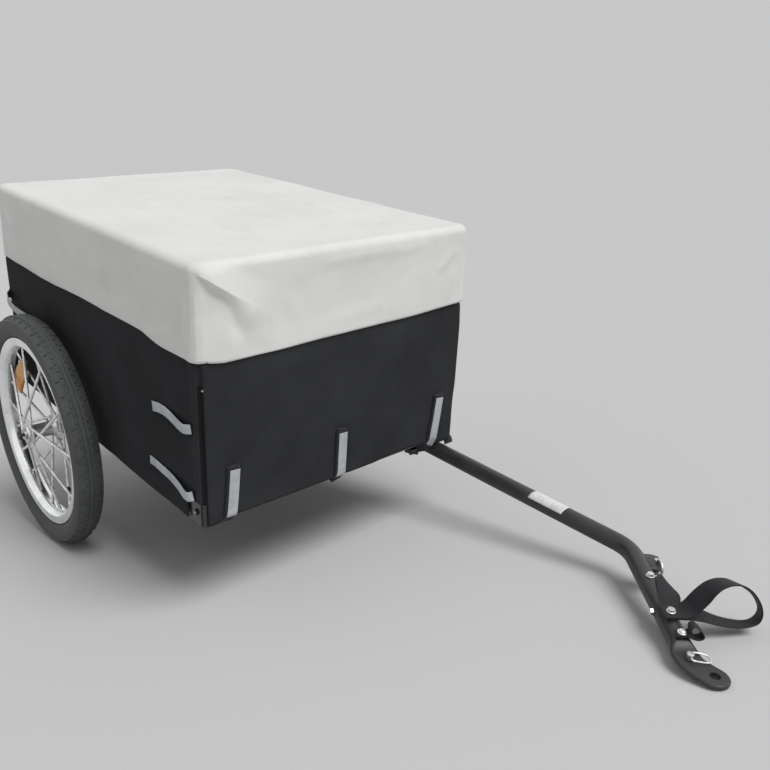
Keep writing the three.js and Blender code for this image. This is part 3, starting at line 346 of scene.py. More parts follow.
def amber_lens():
    net = Net("amber_lens")
    space = net.coordinates()
    cells = net.grid(space, 0.0042, (0, 2))
    film = net.noise(space, 90.0, 4.0, 0.6)
    colour = net.mix(cells * 0.6 + film * 0.4, (0.58, 0.20, 0.006), (0.78, 0.38, 0.02))
    # The lens emits faintly in its own colour: a painted glow, as it is no lamp
    return net.surface(colour, film * 0.15 + 0.16, normal=net.bump(cells, 0.0006, 0.7), coat=0.25,
                       coat_roughness=0.12, specular=0.3, emission=colour, glow=0.03)


def plywood_material():
    net = Net("sealed_plywood")
    stretched = net.node("ShaderNodeMapping", {"Vector": net.coordinates(), "Scale": (2.2, 26.0, 26.0)})
    grain = net.noise(stretched, 3.0, 6.0, 0.62, 0.8)
    colour = net.mix(net.clamp(grain, 0.3, 0.72), (0.36, 0.235, 0.125), (0.50, 0.35, 0.205))
    return net.surface(colour, grain * 0.2 + 0.5, normal=net.bump(grain, 0.0004, 0.4))


def filmed(name, film, bounds, share, colours, roughness, grain, relief, **sockets):
    """A finish whose colour and roughness drift with a film of noise, over a fine grain."""
    net = Net(name)
    space = net.coordinates()
    drift = net.noise(space, *film)
    colour = net.mix(net.clamp(drift, *bounds) * share, *colours)
    normal = net.bump(net.noise(space, *grain), *relief)
    return net.surface(colour, drift * roughness[1] + roughness[0], normal=normal, **sockets)


def zinc_steel(name, colour, roughness, metallic=1.0):
    return filmed(name, (80.0, 5.0, 0.65), (0.35, 0.7), 1.0, (colour, tint(colour, 0.62)), (roughness, 0.2),
                  (700.0, 2.0), (0.00008, 0.4), metallic=metallic)


def plain_plastic(name, colour, roughness):
    return filmed(name, (40.0, 4.0, 0.6), (0.35, 0.75), 0.4, (colour, tint(colour, 1.5, 0.01)), (roughness, 0.12),
                  (600.0, 3.0, 0.6), (0.00015, 0.4))


CANVAS = canvas_material()
# Lit and shaded copies of one nylon: the copy on the ends, corners and floor is painted lighter as light, the side
# panels' copy darker as painted shade
NYLON = nylon_material("tub_nylon_lit_copy", 1.3)
SHADED_SIDE_NYLON = nylon_material("side_nylon_shaded_copy", 1.08)
# Darkest copy: the keepers' dark binding, and the painted shade in the corner recesses
BINDING_AND_RECESS_SHADE = nylon_material("binding_and_recess_shade_nylon", 0.66)
WEBBING = webbing_material()
TAPE = tape_material()
BLACK_STEEL = painted_steel("black_steel", (0.026, 0.027, 0.029), 0.34)
ARM_PAINT = painted_steel("arm_paint", (0.020, 0.021, 0.0225), 0.42)
POLISHED = polished_alloy()
ZINC = zinc_steel("zinc_steel", (0.72, 0.725, 0.73), 0.24)
DULL_ZINC = zinc_steel("dull_zinc", (0.40, 0.405, 0.41), 0.4)
SPOKE_STEEL = zinc_steel("spoke_steel", (0.90, 0.90, 0.905), 0.32, 0.55)
CAST = filmed("cast_alloy", (60.0, 5.0, 0.65), (0.3, 0.7), 1.0, ((0.026, 0.028, 0.0275), (0.017, 0.0185, 0.018)),
              (0.26, 0.15), (500.0, 3.0, 0.6), (0.0003, 0.5), metallic=0.2, coat=0.4, coat_roughness=0.15)
TYRE = tyre_material()
BLACK_PLASTIC = plain_plastic("black_plastic", (0.018, 0.018, 0.019), 0.42)
TUBE_RUBBER = plain_plastic("tube_rubber", (0.02, 0.02, 0.021), 0.6)
AMBER = amber_lens()
CLIP_PLASTIC = plain_plastic("clip_plastic", (0.42, 0.42, 0.40), 0.4)
PLYWOOD = plywood_material()
LABEL = filmed("blank_label", (120.0, 4.0, 0.6), (0.4, 0.75), 1.0, ((0.78, 0.79, 0.80), (0.62, 0.63, 0.64)),
               (0.35, 0.1), (120.0, 4.0, 0.6), (0.0002, 0.4))


# Skins: points, faces and UVs
def loft(rows, around=True, caps=False, closed=False):
    """A skin over rows of points, with UVs in metres; closed joins the last row to the first."""
    rows = np.asarray(rows, float)
    count, width = rows.shape[:2]
    wide = np.concatenate([rows, rows[:, :1]], axis=1) if around else rows
    long = np.concatenate([rows, rows[:1]]) if closed else rows
    u = running(np.linalg.norm(np.diff(wide, axis=1), axis=2).max(axis=0)) / 1000
    v = running(np.linalg.norm(np.diff(long, axis=0), axis=2).mean(axis=1)) / 1000
    faces, uvs = [], []
    for i in range(len(long) - 1):
        for j in range(wide.shape[1] - 1):
            k, m = (i + 1) % count, (j + 1) % width
            faces.append([i * width + j, i * width + m, k * width + m, k * width + j])
            uvs += [(u[j], v[i]), (u[j + 1], v[i]), (u[j + 1], v[i + 1]), (u[j], v[i + 1])]
    if caps:
        faces += [list(range(width))[::-1], [(count - 1) * width + j for j in range(width)]]
        uvs += [(u[j], 0) for j in reversed(range(width))] + [(u[j], v[-1]) for j in range(width)]
    return rows.reshape(-1, 3), faces, uvs


def join_skins(*skins):
    points, faces, uvs = [], [], []
    for found, more, extra in skins:
        offset = sum(len(p) for p in points)
        points.append(found)
        faces += [[offset + n for n in face] for face in more]
        uvs += list(extra)
    return np.concatenate(points), faces, uvs


def tangents(path, closed=False):
    return unit(np.roll(path, -1, axis=0) - np.roll(path, 1, axis=0) if closed else np.gradient(path, axis=0))


def rows_about(path, across, through, section):
    """A section of [across, through] pairs, or one for each station, set out along a path."""
    section = np.asarray(section, float)
    return path[:, None] + across[:, None] * section[..., :1] + through[:, None] * section[..., 1:]


def sweep(path, section, up=UPRIGHT, closed=False):
    """A section of [side, up] pairs carried along a path, with its ends capped or joined."""
    path = np.asarray(path, float)
    tangent = tangents(path, closed)
    side = unit(np.cross(np.broadcast_to(np.asarray(up, float), path.shape), tangent))
    return loft(rows_about(path, side, np.cross(tangent, side), section), caps=not closed, closed=closed)


def circle(radius, sides):
    return radius * np.column_stack([np.cos(turns(sides)), np.sin(turns(sides))])


def flat_section(width, thickness):
    """A flat strap's cross-section with rounded edges."""
    half, r = width / 2 - thickness / 2, thickness / 2
    right = [(half + r * math.cos(a), r * math.sin(a)) for a in np.linspace(-math.pi / 2, math.pi / 2, 5)]
    half_round = np.array(right + [(half * s, r) for s in (0.33, -0.33)])
    return np.concatenate([half_round, -half_round])


def curve_through(points, count, closed=False):
    """Evenly spaced points on a smooth curve through the given ones."""
    points = np.asarray(points, float)
    ring = np.concatenate([points[-1:], points, points[:2]]) if closed else np.concatenate(
        [2 * points[:1] - points[1:2], points, 2 * points[-1:] - points[-2:-1]])
    found = []
    for i in range(1, len(ring) - 2):
        p0, p1, p2, p3 = ring[i - 1:i + 3]
        for t in np.arange(24) / 24:
            found.append(0.5 * (2 * p1 + (p2 - p0) * t + (2 * p0 - 5 * p1 + 4 * p2 - p3) * t ** 2
                                + (3 * p1 - p0 - 3 * p2 + p3) * t ** 3))
    found = np.array(found + [ring[-2]])
    length = running(np.linalg.norm(np.diff(found, axis=0), axis=1))
    wanted = np.linspace(0, length[-1], count + 1)[:-1] if closed else np.linspace(0, length[-1], count)
    return np.column_stack([np.interp(wanted, length, part) for part in found.T])


def bend(corner, before, after, reach, steps):
    """A rounded corner as points on a curve between its two straights."""
    a, b = (corner + unit(end - corner) * reach for end in (before, after))
    return [(1 - t) ** 2 * a + 2 * t * (1 - t) * corner + t ** 2 * b for t in np.linspace(0, 1, steps)]


def rounded(profile, radius):
    """Cuts each corner of a closed profile into a short arc."""
    points = np.asarray(profile, float)
    found = []
    for i, corner in enumerate(points):
        ends = points[i - 1], points[(i + 1) % len(points)]
        reach = min(radius, *(0.45 * np.linalg.norm(end - corner) for end in ends))
        found += bend(corner, *ends, reach, 3)
    return found


def mirrored(half):
    """A profile of [radius, y] pairs and its other half, beyond y = 0."""
    return half + [(r, -y) for r, y in reversed(half)]


def disc_stack(centre, steps, sides=40, up=UPRIGHT, start=0.0):
    """A solid of rings of [radius, height] pairs about a line through centre."""
    up = unit(up)
    side = unit(np.cross(up, (0.3, 0.9, 0.2)))
    ring = np.array([side * math.cos(a) + np.cross(up, side) * math.sin(a) for a in start + turns(sides)])
    return loft([np.asarray(centre) + ring * r + up * h for r, h in steps], caps=True)


def box_mapped(points, faces):
    """A skin with UVs in metres, laid on each face along the two axes that it faces least."""
    uvs = []
    for face in faces:
        corner = points[face]
        normal = np.abs(np.cross(corner[1] - corner[0], corner[-1] - corner[0]) + np.cross(
            corner[2] - corner[1], corner[0] - corner[1]) * 1e-6)
        uvs += [tuple(np.delete(c, int(np.argmax(normal))) / 1000) for c in corner]
    return points, faces, uvs


# Objects
def add_object(name, skin, material, placed=True):
    points, faces, uvs = skin
    mesh = bpy.data.meshes.new(name)
    mesh.from_pydata((place(points) if placed else np.asarray(points)).tolist(), [], faces)
    mesh.uv_layers.new(name="UVMap").data.foreach_set("uv", np.asarray(uvs, np.float32).ravel())
    mesh.materials.append(material)
    mesh.shade_smooth()
    mesh.validate()
    return show(name, mesh)


def fix_outward(obj):
    """Turns a closed skin's faces outward."""
    work = bmesh.new()
    work.from_mesh(obj.data)
    bmesh.ops.recalc_face_normals(work, faces=work.faces)
    work.to_mesh(obj.data)
    work.free()


def baked(obj):
    return bpy.data.meshes.new_from_object(obj.evaluated_get(bpy.context.evaluated_depsgraph_get()))


def worked(obj, kind, **settings):
    """The object with a modifier turned into its plain mesh."""
    step = obj.modifiers.new(kind.lower(), kind)
    for key, value in settings.items():
        setattr(step, key, value)
    mesh = baked(obj)
    obj.modifiers.clear()
    old, obj.data = obj.data, mesh
    bpy.data.meshes.remove(old)
    return obj


def thicken(obj, wall, outward=False):
    return worked(obj, "SOLIDIFY", thickness=wall / 1000, offset=1.0 if outward else -1.0, use_even_offset=False)


def dress(obj, body, slot, *nodes):
    """Sets a finished piece on its body and hides the nodes that it stands for; slot, the finish that it takes, is not
    used.
    """
    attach(obj, body)
    if nodes:
        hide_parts(*nodes)
    return obj


def make(name, skin, material, body, slot, *nodes, bevel=0, bevel_from=35, sharp=0, hole=None):
    """A closed piece, dressed: a hole is a skin cut out of it, sharp the angle from which its edges show."""
    made = add_object(name, skin, material)
    fix_outward(made)
    if hole:
        tool = add_object("drill", hole, material)
        fix_outward(tool)
        worked(made, "BOOLEAN", operation="DIFFERENCE", object=tool, solver="EXACT")
        bpy.data.objects.remove(tool)
    if bevel:
        worked(made, "BEVEL", width=bevel / 1000, segments=2, limit_method="ANGLE",
               angle_limit=math.radians(bevel_from))
    if sharp:
        made.data.set_sharp_from_angle(angle=math.radians(sharp))
    return dress(made, body, slot, *nodes)


# Geometry Nodes for what repeats
class Grower:
    """A small tree with named sizes that ends in Realize Instances and Set Material."""

    def __init__(self, name, sizes):
        self.tree = bpy.data.node_groups.new(name, "GeometryNodeTree")
        face = self.tree.interface
        for way in ("INPUT", "OUTPUT"):
            face.new_socket("Geometry", in_out=way, socket_type="NodeSocketGeometry")
        self.ids = {}
        for key, value in sizes.items():
            socket = face.new_socket(key, in_out="INPUT", socket_type="NodeSocketFloat")
            socket.default_value = value
            self.ids[key] = socket.identifier
        self.sizes = self.tree.nodes.new("NodeGroupInput").outputs
        self.line = self.node("GeometryNodeMeshToCurve", {"Mesh": self.sizes["Geometry"]}).outputs[0]

    def node(self, kind, inputs=(), **settings):
        return add_node(self.tree, kind, dict(inputs), settings)

    def end(self, geometry, material):
        real = self.node("GeometryNodeRealizeInstances", {"Geometry": geometry})
        shown = self.node("GeometryNodeSetMaterial", {"Geometry": real.outputs[0], "Material": material})
        self.node("NodeGroupOutput", {"Geometry": shown.outputs[0]})
        return self

    def grow(self, name, seed_mesh, **sizes):
        source = show(name + "_seed", seed_mesh)
        modifier = source.modifiers.new("grow", "NODES")
        modifier.node_group = self.tree
        for key, value in sizes.items():
            modifier[self.ids[key]] = value
        mesh = baked(source)
        mesh.name = name
        bpy.data.objects.remove(source)
        return show(name, mesh)


def line_mesh(points, edges):
    """A mesh of edges only."""
    mesh = bpy.data.meshes.new("lines")
    mesh.from_pydata(place(points).tolist(), edges, [])
    return mesh


def wire_grower(name, material):
    """A round wire along each line."""
    grower = Grower(name, {"Radius": 0.001})
    ring = grower.node("GeometryNodeCurvePrimitiveCircle", {"Resolution": 8, "Radius": grower.sizes["Radius"]})
    wire = grower.node("GeometryNodeCurveToMesh", {"Curve": grower.line, "Profile Curve": ring.outputs[0],
                                                   "Fill Caps": True})
    return grower.end(wire.outputs[0], material)


def tread_grower():
    """Low blocks set along each line, turned to its run."""
    grower = Grower("tread_blocks", {"Pitch": 0.0125, "Length": 0.0086, "Width": 0.0040, "Height": 0.0016})
    sizes = grower.sizes
    spaced = grower.node("GeometryNodeCurveToPoints", {"Curve": grower.line, "Length": sizes["Pitch"]}, mode="LENGTH")
    block = grower.node("GeometryNodeMeshCone", {"Vertices": 4, "Radius Top": 0.52, "Radius Bottom": 0.707,
                                                 "Depth": 1.0})
    square = grower.node("GeometryNodeTransform", {"Geometry": block.outputs[0], "Rotation": (0, 0, math.pi / 4)})
    size = grower.node("ShaderNodeCombineXYZ", {"X": sizes["Length"], "Y": sizes["Width"], "Z": sizes["Height"]})
    shaped = grower.node("GeometryNodeTransform", {"Geometry": square.outputs[0], "Scale": size.outputs[0]})
    turn = grower.node("FunctionNodeAlignRotationToVector", {"Vector": spaced.outputs["Tangent"]}, axis="X")
    out = grower.node("GeometryNodeInputNamedAttribute", {"Name": "outward"}, data_type="FLOAT_VECTOR")
    upright = grower.node("FunctionNodeAlignRotationToVector",
                          {"Rotation": turn.outputs[0], "Vector": out.outputs[0]}, axis="Z", pivot_axis="X")
    many = grower.node("GeometryNodeInstanceOnPoints", {"Points": spaced.outputs[0], "Instance": shaped.outputs[0],
                                                        "Rotation": upright.outputs[0]})
    return grower.end(many.outputs[0], TYRE)


# Plan rings round the body
def edge_steps(length, count, breaks=()):
    """Shares along an edge, with extra ones at given distances from both its ends."""
    found = np.linspace(0, length, count + 1)
    for distance in breaks:
        for wanted in (distance, length - distance):
            found[int(np.argmin(np.abs(found - wanted)))] = wanted
    return found / length


def plan_ring(half_x, half_y, radius, x_shares, y_shares, corner_steps, front_shares=None):
    """Points, outward normals, sides and distances from the nearer corner of one level ring."""
    points, normals, sides, reaches = [], [], [], []

    def add(spot, angle, side, reach):
        normal = np.array([math.cos(angle), math.sin(angle)])
        points.append(spot + radius * normal)
        normals.append(normal)
        sides.append(side)
        reaches.append(reach)

    inner = np.array(CORNERS) * (half_x - radius, half_y - radius)
    for quarter, name in enumerate(("left", "rear", "right", "front")):
        centre, after = inner[quarter], inner[(quarter + 1) % 4]
        for step in range(corner_steps + 1):
            share = step / corner_steps
            add(centre, (quarter + share) * math.pi / 2, ("corner", quarter, share), 0.0)
        shares = x_shares if quarter % 2 == 0 else y_shares
        if name == "front" and front_shares is not None:
            shares = front_shares
        span = np.linalg.norm(after - centre)
        for share in shares[1:-1]:
            add(centre + (after - centre) * share, (quarter + 1) * math.pi / 2, (name, quarter, share),
                min(share, 1 - share) * span)
    return np.array(points) + (-HALF_X, 0), np.array(normals), sides, np.array(reaches)


def crease(a, b, points, width, height, taper=0.35):
    """Height of a fold along the line a-b for points in a panel's own [along, down] plane."""
    a, b = np.asarray(a, float), np.asarray(b, float)
    along = np.clip(((points - a) @ (b - a)) / ((b - a) @ (b - a)), -0.2, 1.2)
    away = np.linalg.norm(points - (a + np.outer(np.clip(along, 0, 1), b - a)), axis=1)
    return height * bump(away, width) * smooth(-0.02, taper, along) * (1 - smooth(1 - taper, 1.05, along))


# Folds on the cover's four faces: side, corner end, from, to, width, height. Places are from that corner
# along the face, and down from the top.
COVER_FOLDS = [
    ("front", 0, (118, 44), (136, 94), 9.0, 1.5), ("front", 0, (64, 60), (58, 92), 9.0, 1.3),
    ("front", 0, (26, 70), (40, 120), 7.0, 1.6), ("front", 0, (150, 22), (330, 17), 8.0, 1.5),
    ("front", 0, (180, 104), (300, 92), 11.0, 0.9), ("front", 1, (6, 26), (52, 70), 7.0, 1.9),
    ("front", 1, (60, 18), (150, 24), 8.0, 1.1), ("front", 1, (12, 60), (30, 118), 8.0, 1.5),
    ("right", 1, (6, 26), (16, 112), 5.5, 2.0), ("right", 1, (30, 92), (118, 122), 7.0, 2.2),
    ("right", 1, (26, 22), (150, 26), 8.0, 1.0), ("right", 1, (90, 34), (330, 74), 18.0, 1.7),
    ("right", 1, (150, 98), (260, 118), 12.0, 1.6), ("right", 0, (6, 28), (56, 78), 8.0, 2.0),
    ("right", 0, (70, 24), (230, 30), 10.0, 1.1), ("right", 0, (120, 66), (240, 108), 15.0, 1.5),
    ("left", 0, (6, 26), (56, 74), 7.0, 2.2), ("left", 0, (40, 24), (240, 36), 11.0, 1.3),
    ("left", 1, (6, 28), (60, 80), 7.0, 2.2), ("left", 1, (90, 50), (220, 100), 16.0, 1.7),
    ("rear", 0, (6, 28), (66, 78), 7.0, 2.2), ("rear", 0, (20, 22), (180, 30), 10.0, 1.3),
    ("rear", 1, (6, 30), (56, 84), 7.0, 2.2), ("rear", 1, (60, 60), (170, 104), 14.0, 1.6),
]
# The deep fold that runs from the right front corner down across the front: across, down
FRONT_FOLD = np.array([(0.0, 8.0), (6.0, 10.0), (26.0, 25.0), (50.0, 41.5), (64.0, 50.0), (90.0, 66.0), (138.0, 94.0)])
# Height of the cover's hem over the frame, along each face and at each corner
HEMS = {
    "right": [(-670, 236), (-657, 235.8), (-474, 233.2), (-296, 239.3), (-149, 240.8), (-90, 234), (-10, 236.8),
              (0, 236)],
    "front": [(-238, 235.6), (-229, 235), (-194, 230.6), (-124, 230.8), (-20, 232.7), (96, 234), (238, 239)],
    "left": [(-670, 237), (-510, 240), (-330, 234.5), (-130, 237), (0, 239)],
    "rear": [(-238, 236), (-90, 233.5), (70, 238), (238, 237)],
}
CORNER_HEMS = [239.0, 237.0, 236.0, 235.8]


def cover_relief(side, reach_along, span, down):
    """How far the folds lift the cover's wall, in mm, for points on one side."""
    found = np.zeros(len(down))
    for name, end, a, b, width, height in COVER_FOLDS:
        if name == side:
            along = span - reach_along if end else reach_along
            found += crease(a, b, np.column_stack([along, down]), width, height)
    return found


def front_fold(across, down):
    """A facet that slopes out over the fold's line; under it, it drops sharply near the corner, then softly."""
    below = down - np.interp(across, *FRONT_FOLD.T)
    strength = smooth(2, 24, across) * (1 - smooth(44, 132, across)) * smooth(0, 15, down)
    over = (1 - np.clip(-below / 40, 0, 1)) ** 1.15
    under = 1 - smooth(0, 3.6 + 52 * smooth(34, 78, across), below)
    hollow = 1.6 * bump(below - 10, 9) * (below > 0) * (1 - smooth(40, 70, across))
    smudge = 1.4 * bump(across - 60, 17) * bump(down - 82, 13)
    return strength * (8.8 * np.where(below < 0, over, under) - hollow) - smudge


def build_cover():
    front_steps = np.concatenate([np.linspace(0, 112, 46), np.linspace(112, 443, 62)[1:]]) / 443
    steps = (edge_steps(1, 100), edge_steps(1, 70), 14, front_steps)
    spots, normals, sides, reaches = plan_ring(HALF_X, HALF_Y, COVER_CORNER, *steps)
    corner_nearness = bump(reaches, 60)
    spans = {name: (BODY_WIDTH if name in ("front", "rear") else BODY_LENGTH) - 2 * COVER_CORNER for name in HEMS}
    along = np.array([share * spans.get(name, 0) for name, _, share in sides])
    hem = np.array([CORNER_HEMS[quarter] if name == "corner"
                    else float(eased(HEMS[name], x if name in ("left", "right") else y))
                    for (name, quarter, _), (x, y) in zip(sides, spots)])
    seam_side = np.array([bump((share - 0.5) * 25, 2.2) if name == "corner" else 0.0 for name, _, share in sides])
    across = spots[:, 1] + HALF_Y
    near_fold = (normals[:, 0] > 0.3) & (across < 200)
    follow = np.where(near_fold, 1 - smooth(90, 160, across), 0.0)
    rows = []

    def ring(ease, corner, tilt, down):
        points = plan_ring(HALF_X + ease, HALF_Y + ease, corner, *steps)[0]
        down = np.broadcast_to(down, (len(points),))
        relief = np.zeros(len(points))
        for name in spans:
            chosen = np.array([side[0] == name for side in sides])
            relief[chosen] = cover_relief(name, along[chosen], spans[name], down[chosen])
        spot = np.column_stack([points, COVER_TOP - down])
        relief += 0.9 * ripple(spot, 100, 3) + 0.35 * ripple(spot * (1, 1, 0.6), 34, 8, 1) + 0.5
        relief -= 1.2 * (1 - corner_nearness) * smooth(10, 60, down) * (1 - smooth(80, 120, down))
        relief += 1.2 * seam_side * smooth(30, 44, down) + 0.9 * corner_nearness * smooth(40, 110, down)
        relief += np.where((across < 13.6) & near_fold, 1.0, 0.0) * smooth(64, 74, down)
        relief = np.where(relief < 0, -1.3 * np.tanh(-relief / 1.3), relief)
        folded = np.maximum(relief * (1 - 0.4 * follow), -1.3) + front_fold(across, down)
        relief = np.where(near_fold, folded, relief)
        level = COVER_TOP - down - (COVER_TOP - COVER_DEPTH - hem) * smooth(50, COVER_DEPTH, down)
        flat = points + normals * (relief * math.cos(tilt))[:, None]
        rows.append(np.column_stack([flat, level + relief * math.sin(tilt)]))

    # The wall's rings follow the fold's line near the corner, from the hem up to the shoulder
    middle = 0.32
    wanted = np.concatenate([np.linspace(1, 0.4, 24), np.linspace(0.4, middle, 9)[1:],
                             np.linspace(middle, 0.24, 9)[1:], np.linspace(0.24, 0, 9)[1:-1]])
    depth = COVER_DEPTH - COVER_SHOULDER
    line = np.clip(np.interp(across, *FRONT_FOLD.T), COVER_SHOULDER + 2, None)
    line = follow * line + (1 - follow) * (COVER_SHOULDER + depth * middle)
    for share in wanted:
        down = np.where(share < middle, COVER_SHOULDER + (line - COVER_SHOULDER) * share / middle,
                        line + (COVER_DEPTH - line) * (share - middle) / (1 - middle))
        band = 0.15 * float(share > 1 - 10.5 / depth)
        ease = COVER_EASE_TOP + (COVER_EASE_HEM - COVER_EASE_TOP) * float(smooth(0.05, 1, share)) + band
        ring(ease, COVER_CORNER, 0.0, down)
    for angle in np.arange(10) / 9 * math.pi / 2:
        inward = COVER_SHOULDER * (1 - math.cos(angle))
        ring(COVER_EASE_TOP - inward, max(COVER_CORNER - inward, 1.2), angle, COVER_SHOULDER * (1 - math.sin(angle)))
    reach = HALF_Y + COVER_EASE_TOP - COVER_SHOULDER
    edge = rows[-1][:, 2] - COVER_TOP
    for share in np.arange(1, 27) / 26:
        inward = reach * share ** 1.15
        left = max(reach - inward, 0.0)
        points = plan_ring(HALF_X + COVER_EASE_TOP - COVER_SHOULDER - inward, left, min(1.2, left), *steps)[0]
        x_part, y_part = (points[:, 0] + HALF_X) / HALF_X, points[:, 1] / HALF_Y
        sag = 3.4 * (1 - x_part ** 2) * (1 - y_part ** 2) + 0.8 * smooth(0, 30, inward)
        flat = np.column_stack([points, np.full(len(points), COVER_TOP)])
        rise = ripple(flat, 130, 5) * 1.0 + ripple(flat, 45, 9, 1) * 0.3
        flat[:, 2] += edge * (1 - smooth(0, 26, inward)) - sag + rise * smooth(0, 24, inward)
        rows.append(flat)
    cover = add_object("rain_cover_cloth", box_mapped(*loft(rows)[:2]), CANVAS)
    worked(cover, "WELD", merge_threshold=2e-5)
    thicken(cover, COVER_WALL)
    dress(cover, "cover", "canvas", "rain_cover_top", "rain_cover_skirts")


# Plan of each corner of the tub: inward from the end face and outward from the side face, in mm. The side
# cloth ends in a rolled edge, then comes a recess at the post, then the sleeve of the end panel.
CORNER_PLAN = [(11.4, 2.3), (8.4, 2.4), (5.8, 2.4), (4.4, 2.1), (3.9, 0.6), (3.7, -2.4), (3.0, -4.6), (1.4, -5.6),
               (-0.8, -5.7), (-2.5, -6.0), (-3.1, -7.0), (-3.2, -9.0), (-3.0, -11.4)]
CORNER_STEPS = len(CORNER_PLAN) - 1
# Columns of the corner plan, and the height under which, where the recess is painted darker as shade
RECESS, RECESS_TOP = (4, 9), 205
# How much further out the left side's cloth hangs
LEFT_SLACK = 2.4
# Height of the front panel's lower edge over the underside of the frame
FRONT_HEM = [(-240, 0.8), (-216, 1.5), (-204, 4.6), (60, 5), (98, 8.5), (140, 8.5), (164, 5), (180, 0.0), (192, -3.3),
             (222, -3.5), (240, -2.5)]


def held_flat(name, x, y, z):
    """1 where a strap or its seam keeps the cloth close to the frame."""
    found = np.zeros(len(x))
    if name in ("left", "right"):
        for start, height in ((0, 139), (0, 43), (-BODY_LENGTH, 139)):
            near = 1 - smooth(150, 175, np.abs(x - start))
            found = np.maximum(found, near * (1 - smooth(10, 17, np.abs(z - height))))
    if name == "front":
        for spot in (-193, -7, 193):
            found = np.maximum(found, (1 - smooth(11, 17, np.abs(y - spot))) * (1 - smooth(86, 94, z)))
    return found


def tub_relief(points, sides, reaches, z):
    """How far the tub's wall stands off the frame at one height."""
    flat = np.column_stack([points, np.full(len(points), z)])
    sway = 0.5 + 0.5 * np.clip(ripple(flat, 110, 12), -1, 1)
    small = ripple(flat * (1, 1, 0.35), 40, 15, 2)
    found = 2.4 + smooth(6, 60, reaches) * (sway * 2.0 + small * 0.55)
    for name in HEMS:
        chosen = np.array([side[0] == name for side in sides])
        held = held_flat(name, points[chosen, 0], points[chosen, 1], z)
        found[chosen] = found[chosen] * (1 - held) + (1.2 if name in ("left", "right") else 2.3) * held
        if name == "left":
            found[chosen] += LEFT_SLACK * smooth(60, 100, z) * (1 - held)
        if name == "front":
            found[chosen] += 0.7 * (1 - smooth(2.0, 3.2, reaches[chosen]))
    under_cover = smooth(200, 236, z)
    tucked = 0.2 + 0.9 * (1 - float(smooth(232, 246, z)))
    return found * (1 - under_cover) + tucked * under_cover


def plan_index(quarter, share):
    """Where a corner's point stands in the corner plan, which runs from the side to the end."""
    k = round(share * CORNER_STEPS)
    return CORNER_STEPS - k if quarter in (0, 2) else k


def build_tub():
    spans = BODY_LENGTH - 2 * RING_INSET, BODY_WIDTH - 2 * RING_INSET
    shoe = SHOE_REACH - RING_INSET
    steps = edge_steps(spans[0], 124, (shoe,)), edge_steps(spans[1], 84, (2.4, shoe)), CORNER_STEPS
    _, _, sides, reaches = plan_ring(HALF_X, HALF_Y, RING_INSET, *steps)
    rows = []

    def plain_ring(inset, radius, z):
        points = plan_ring(HALF_X - inset, HALF_Y - inset, radius, *steps)[0]
        rows.append(np.column_stack([points, np.full(len(points), z)]))

    def wall_ring(z):
        points, normals, _, _ = plan_ring(HALF_X, HALF_Y, RING_INSET, *steps)
        points = points + normals * tub_relief(points, sides, reaches, z)[:, None]
        shaped = 1 - float(smooth(227, 240, z))
        slack = LEFT_SLACK * float(smooth(60, 100, z)) * (1 - float(smooth(190, 232, z)))
        for i, (name, quarter, share) in enumerate(sides):
            if name == "corner":
                sx, sy = CORNERS[quarter]
                inward, outward = CORNER_PLAN[plan_index(quarter, share)]
                spot = np.array([sx * (HALF_X - inward) - HALF_X, sy * (HALF_Y + outward + slack * (sy > 0))])
                points[i] = points[i] * (1 - shaped) + spot * shaped
        lifted = eased(FRONT_HEM, points[:, 1]) * (1 - smooth(0, SHOE_TOP, z))
        rows.append(np.column_stack([points, z + np.where(points[:, 0] > 1.6, lifted, 0)]))

    # The cloth's inner edge, its turn over the top ring, then the wall down to the underside
    for z in (RING_Z - 24, RING_Z - 12, RING_Z):
        plain_ring(RING_INSET + POST_RADIUS + 1.7, 1.0, z)
    for angle in math.pi - np.arange(1, 12) / 12 * math.pi:
        reach = (RING_INSET - 0.1) * math.cos(angle)
        plain_ring(RING_INSET - reach, max(reach, 1.0), RING_Z + (RING_INSET - 0.1) * math.sin(angle))
    heights = np.concatenate([np.linspace(RING_Z, 236, 12), np.linspace(236, SHOE_TOP, 66)[1:],
                              np.linspace(SHOE_TOP, 0, 10)[1:]])
    first = len(rows)
    for z in heights:
        wall_ring(z)
    points, faces, _ = loft(rows)
    at_shoe = [(name in ("left", "right", "rear") and reach <= shoe + 0.01)
               or (name == "corner" and (quarter in (1, 2) or min(share, 1 - share) < 0.26
                   and (share < 0.5) == (quarter == 3))) for (name, quarter, share), reach in zip(sides, reaches)]
    # Faces in the corner recesses, which take the darkest nylon as painted shade
    recess = [name == "corner" and RECESS[0] <= plan_index(quarter, share) <= RECESS[1]
              for name, quarter, share in sides]
    kept, finish = [], []
    for face in faces:
        row, columns = min(face) // len(sides), [n % len(sides) for n in face]
        height = heights[row - first] if row >= first else BODY_HEIGHT
        if height <= SHOE_TOP + 0.01 and all(at_shoe[c] for c in columns):
            continue
        kept.append(face)
        lateral = all(sides[c][0] in ("left", "right") for c in columns)
        finish.append(1 if height < RECESS_TOP and all(recess[c] for c in columns) else 2 if lateral else 0)
    tub = add_object("fabric_tub_cloth", box_mapped(points, kept), NYLON)
    # Second material: the corner recesses are painted darker with it, as their shade
    tub.data.materials.append(BINDING_AND_RECESS_SHADE)
    # Third material: the side panels' darker copy of the nylon, as painted shade
    tub.data.materials.append(SHADED_SIDE_NYLON)
    tub.data.polygons.foreach_set("material_index", finish)
    thicken(tub, 1.4)
    worked(tub, "WELD", merge_threshold=1e-6)
    bpy.ops.object.select_all(action="DESELECT")
    for part in (tub, tub_floor()):
        part.select_set(True)
    bpy.context.view_layer.objects.active = tub
    bpy.ops.object.join()
    dress(tub, "chassis", "black_nylon", "fabric_tub")


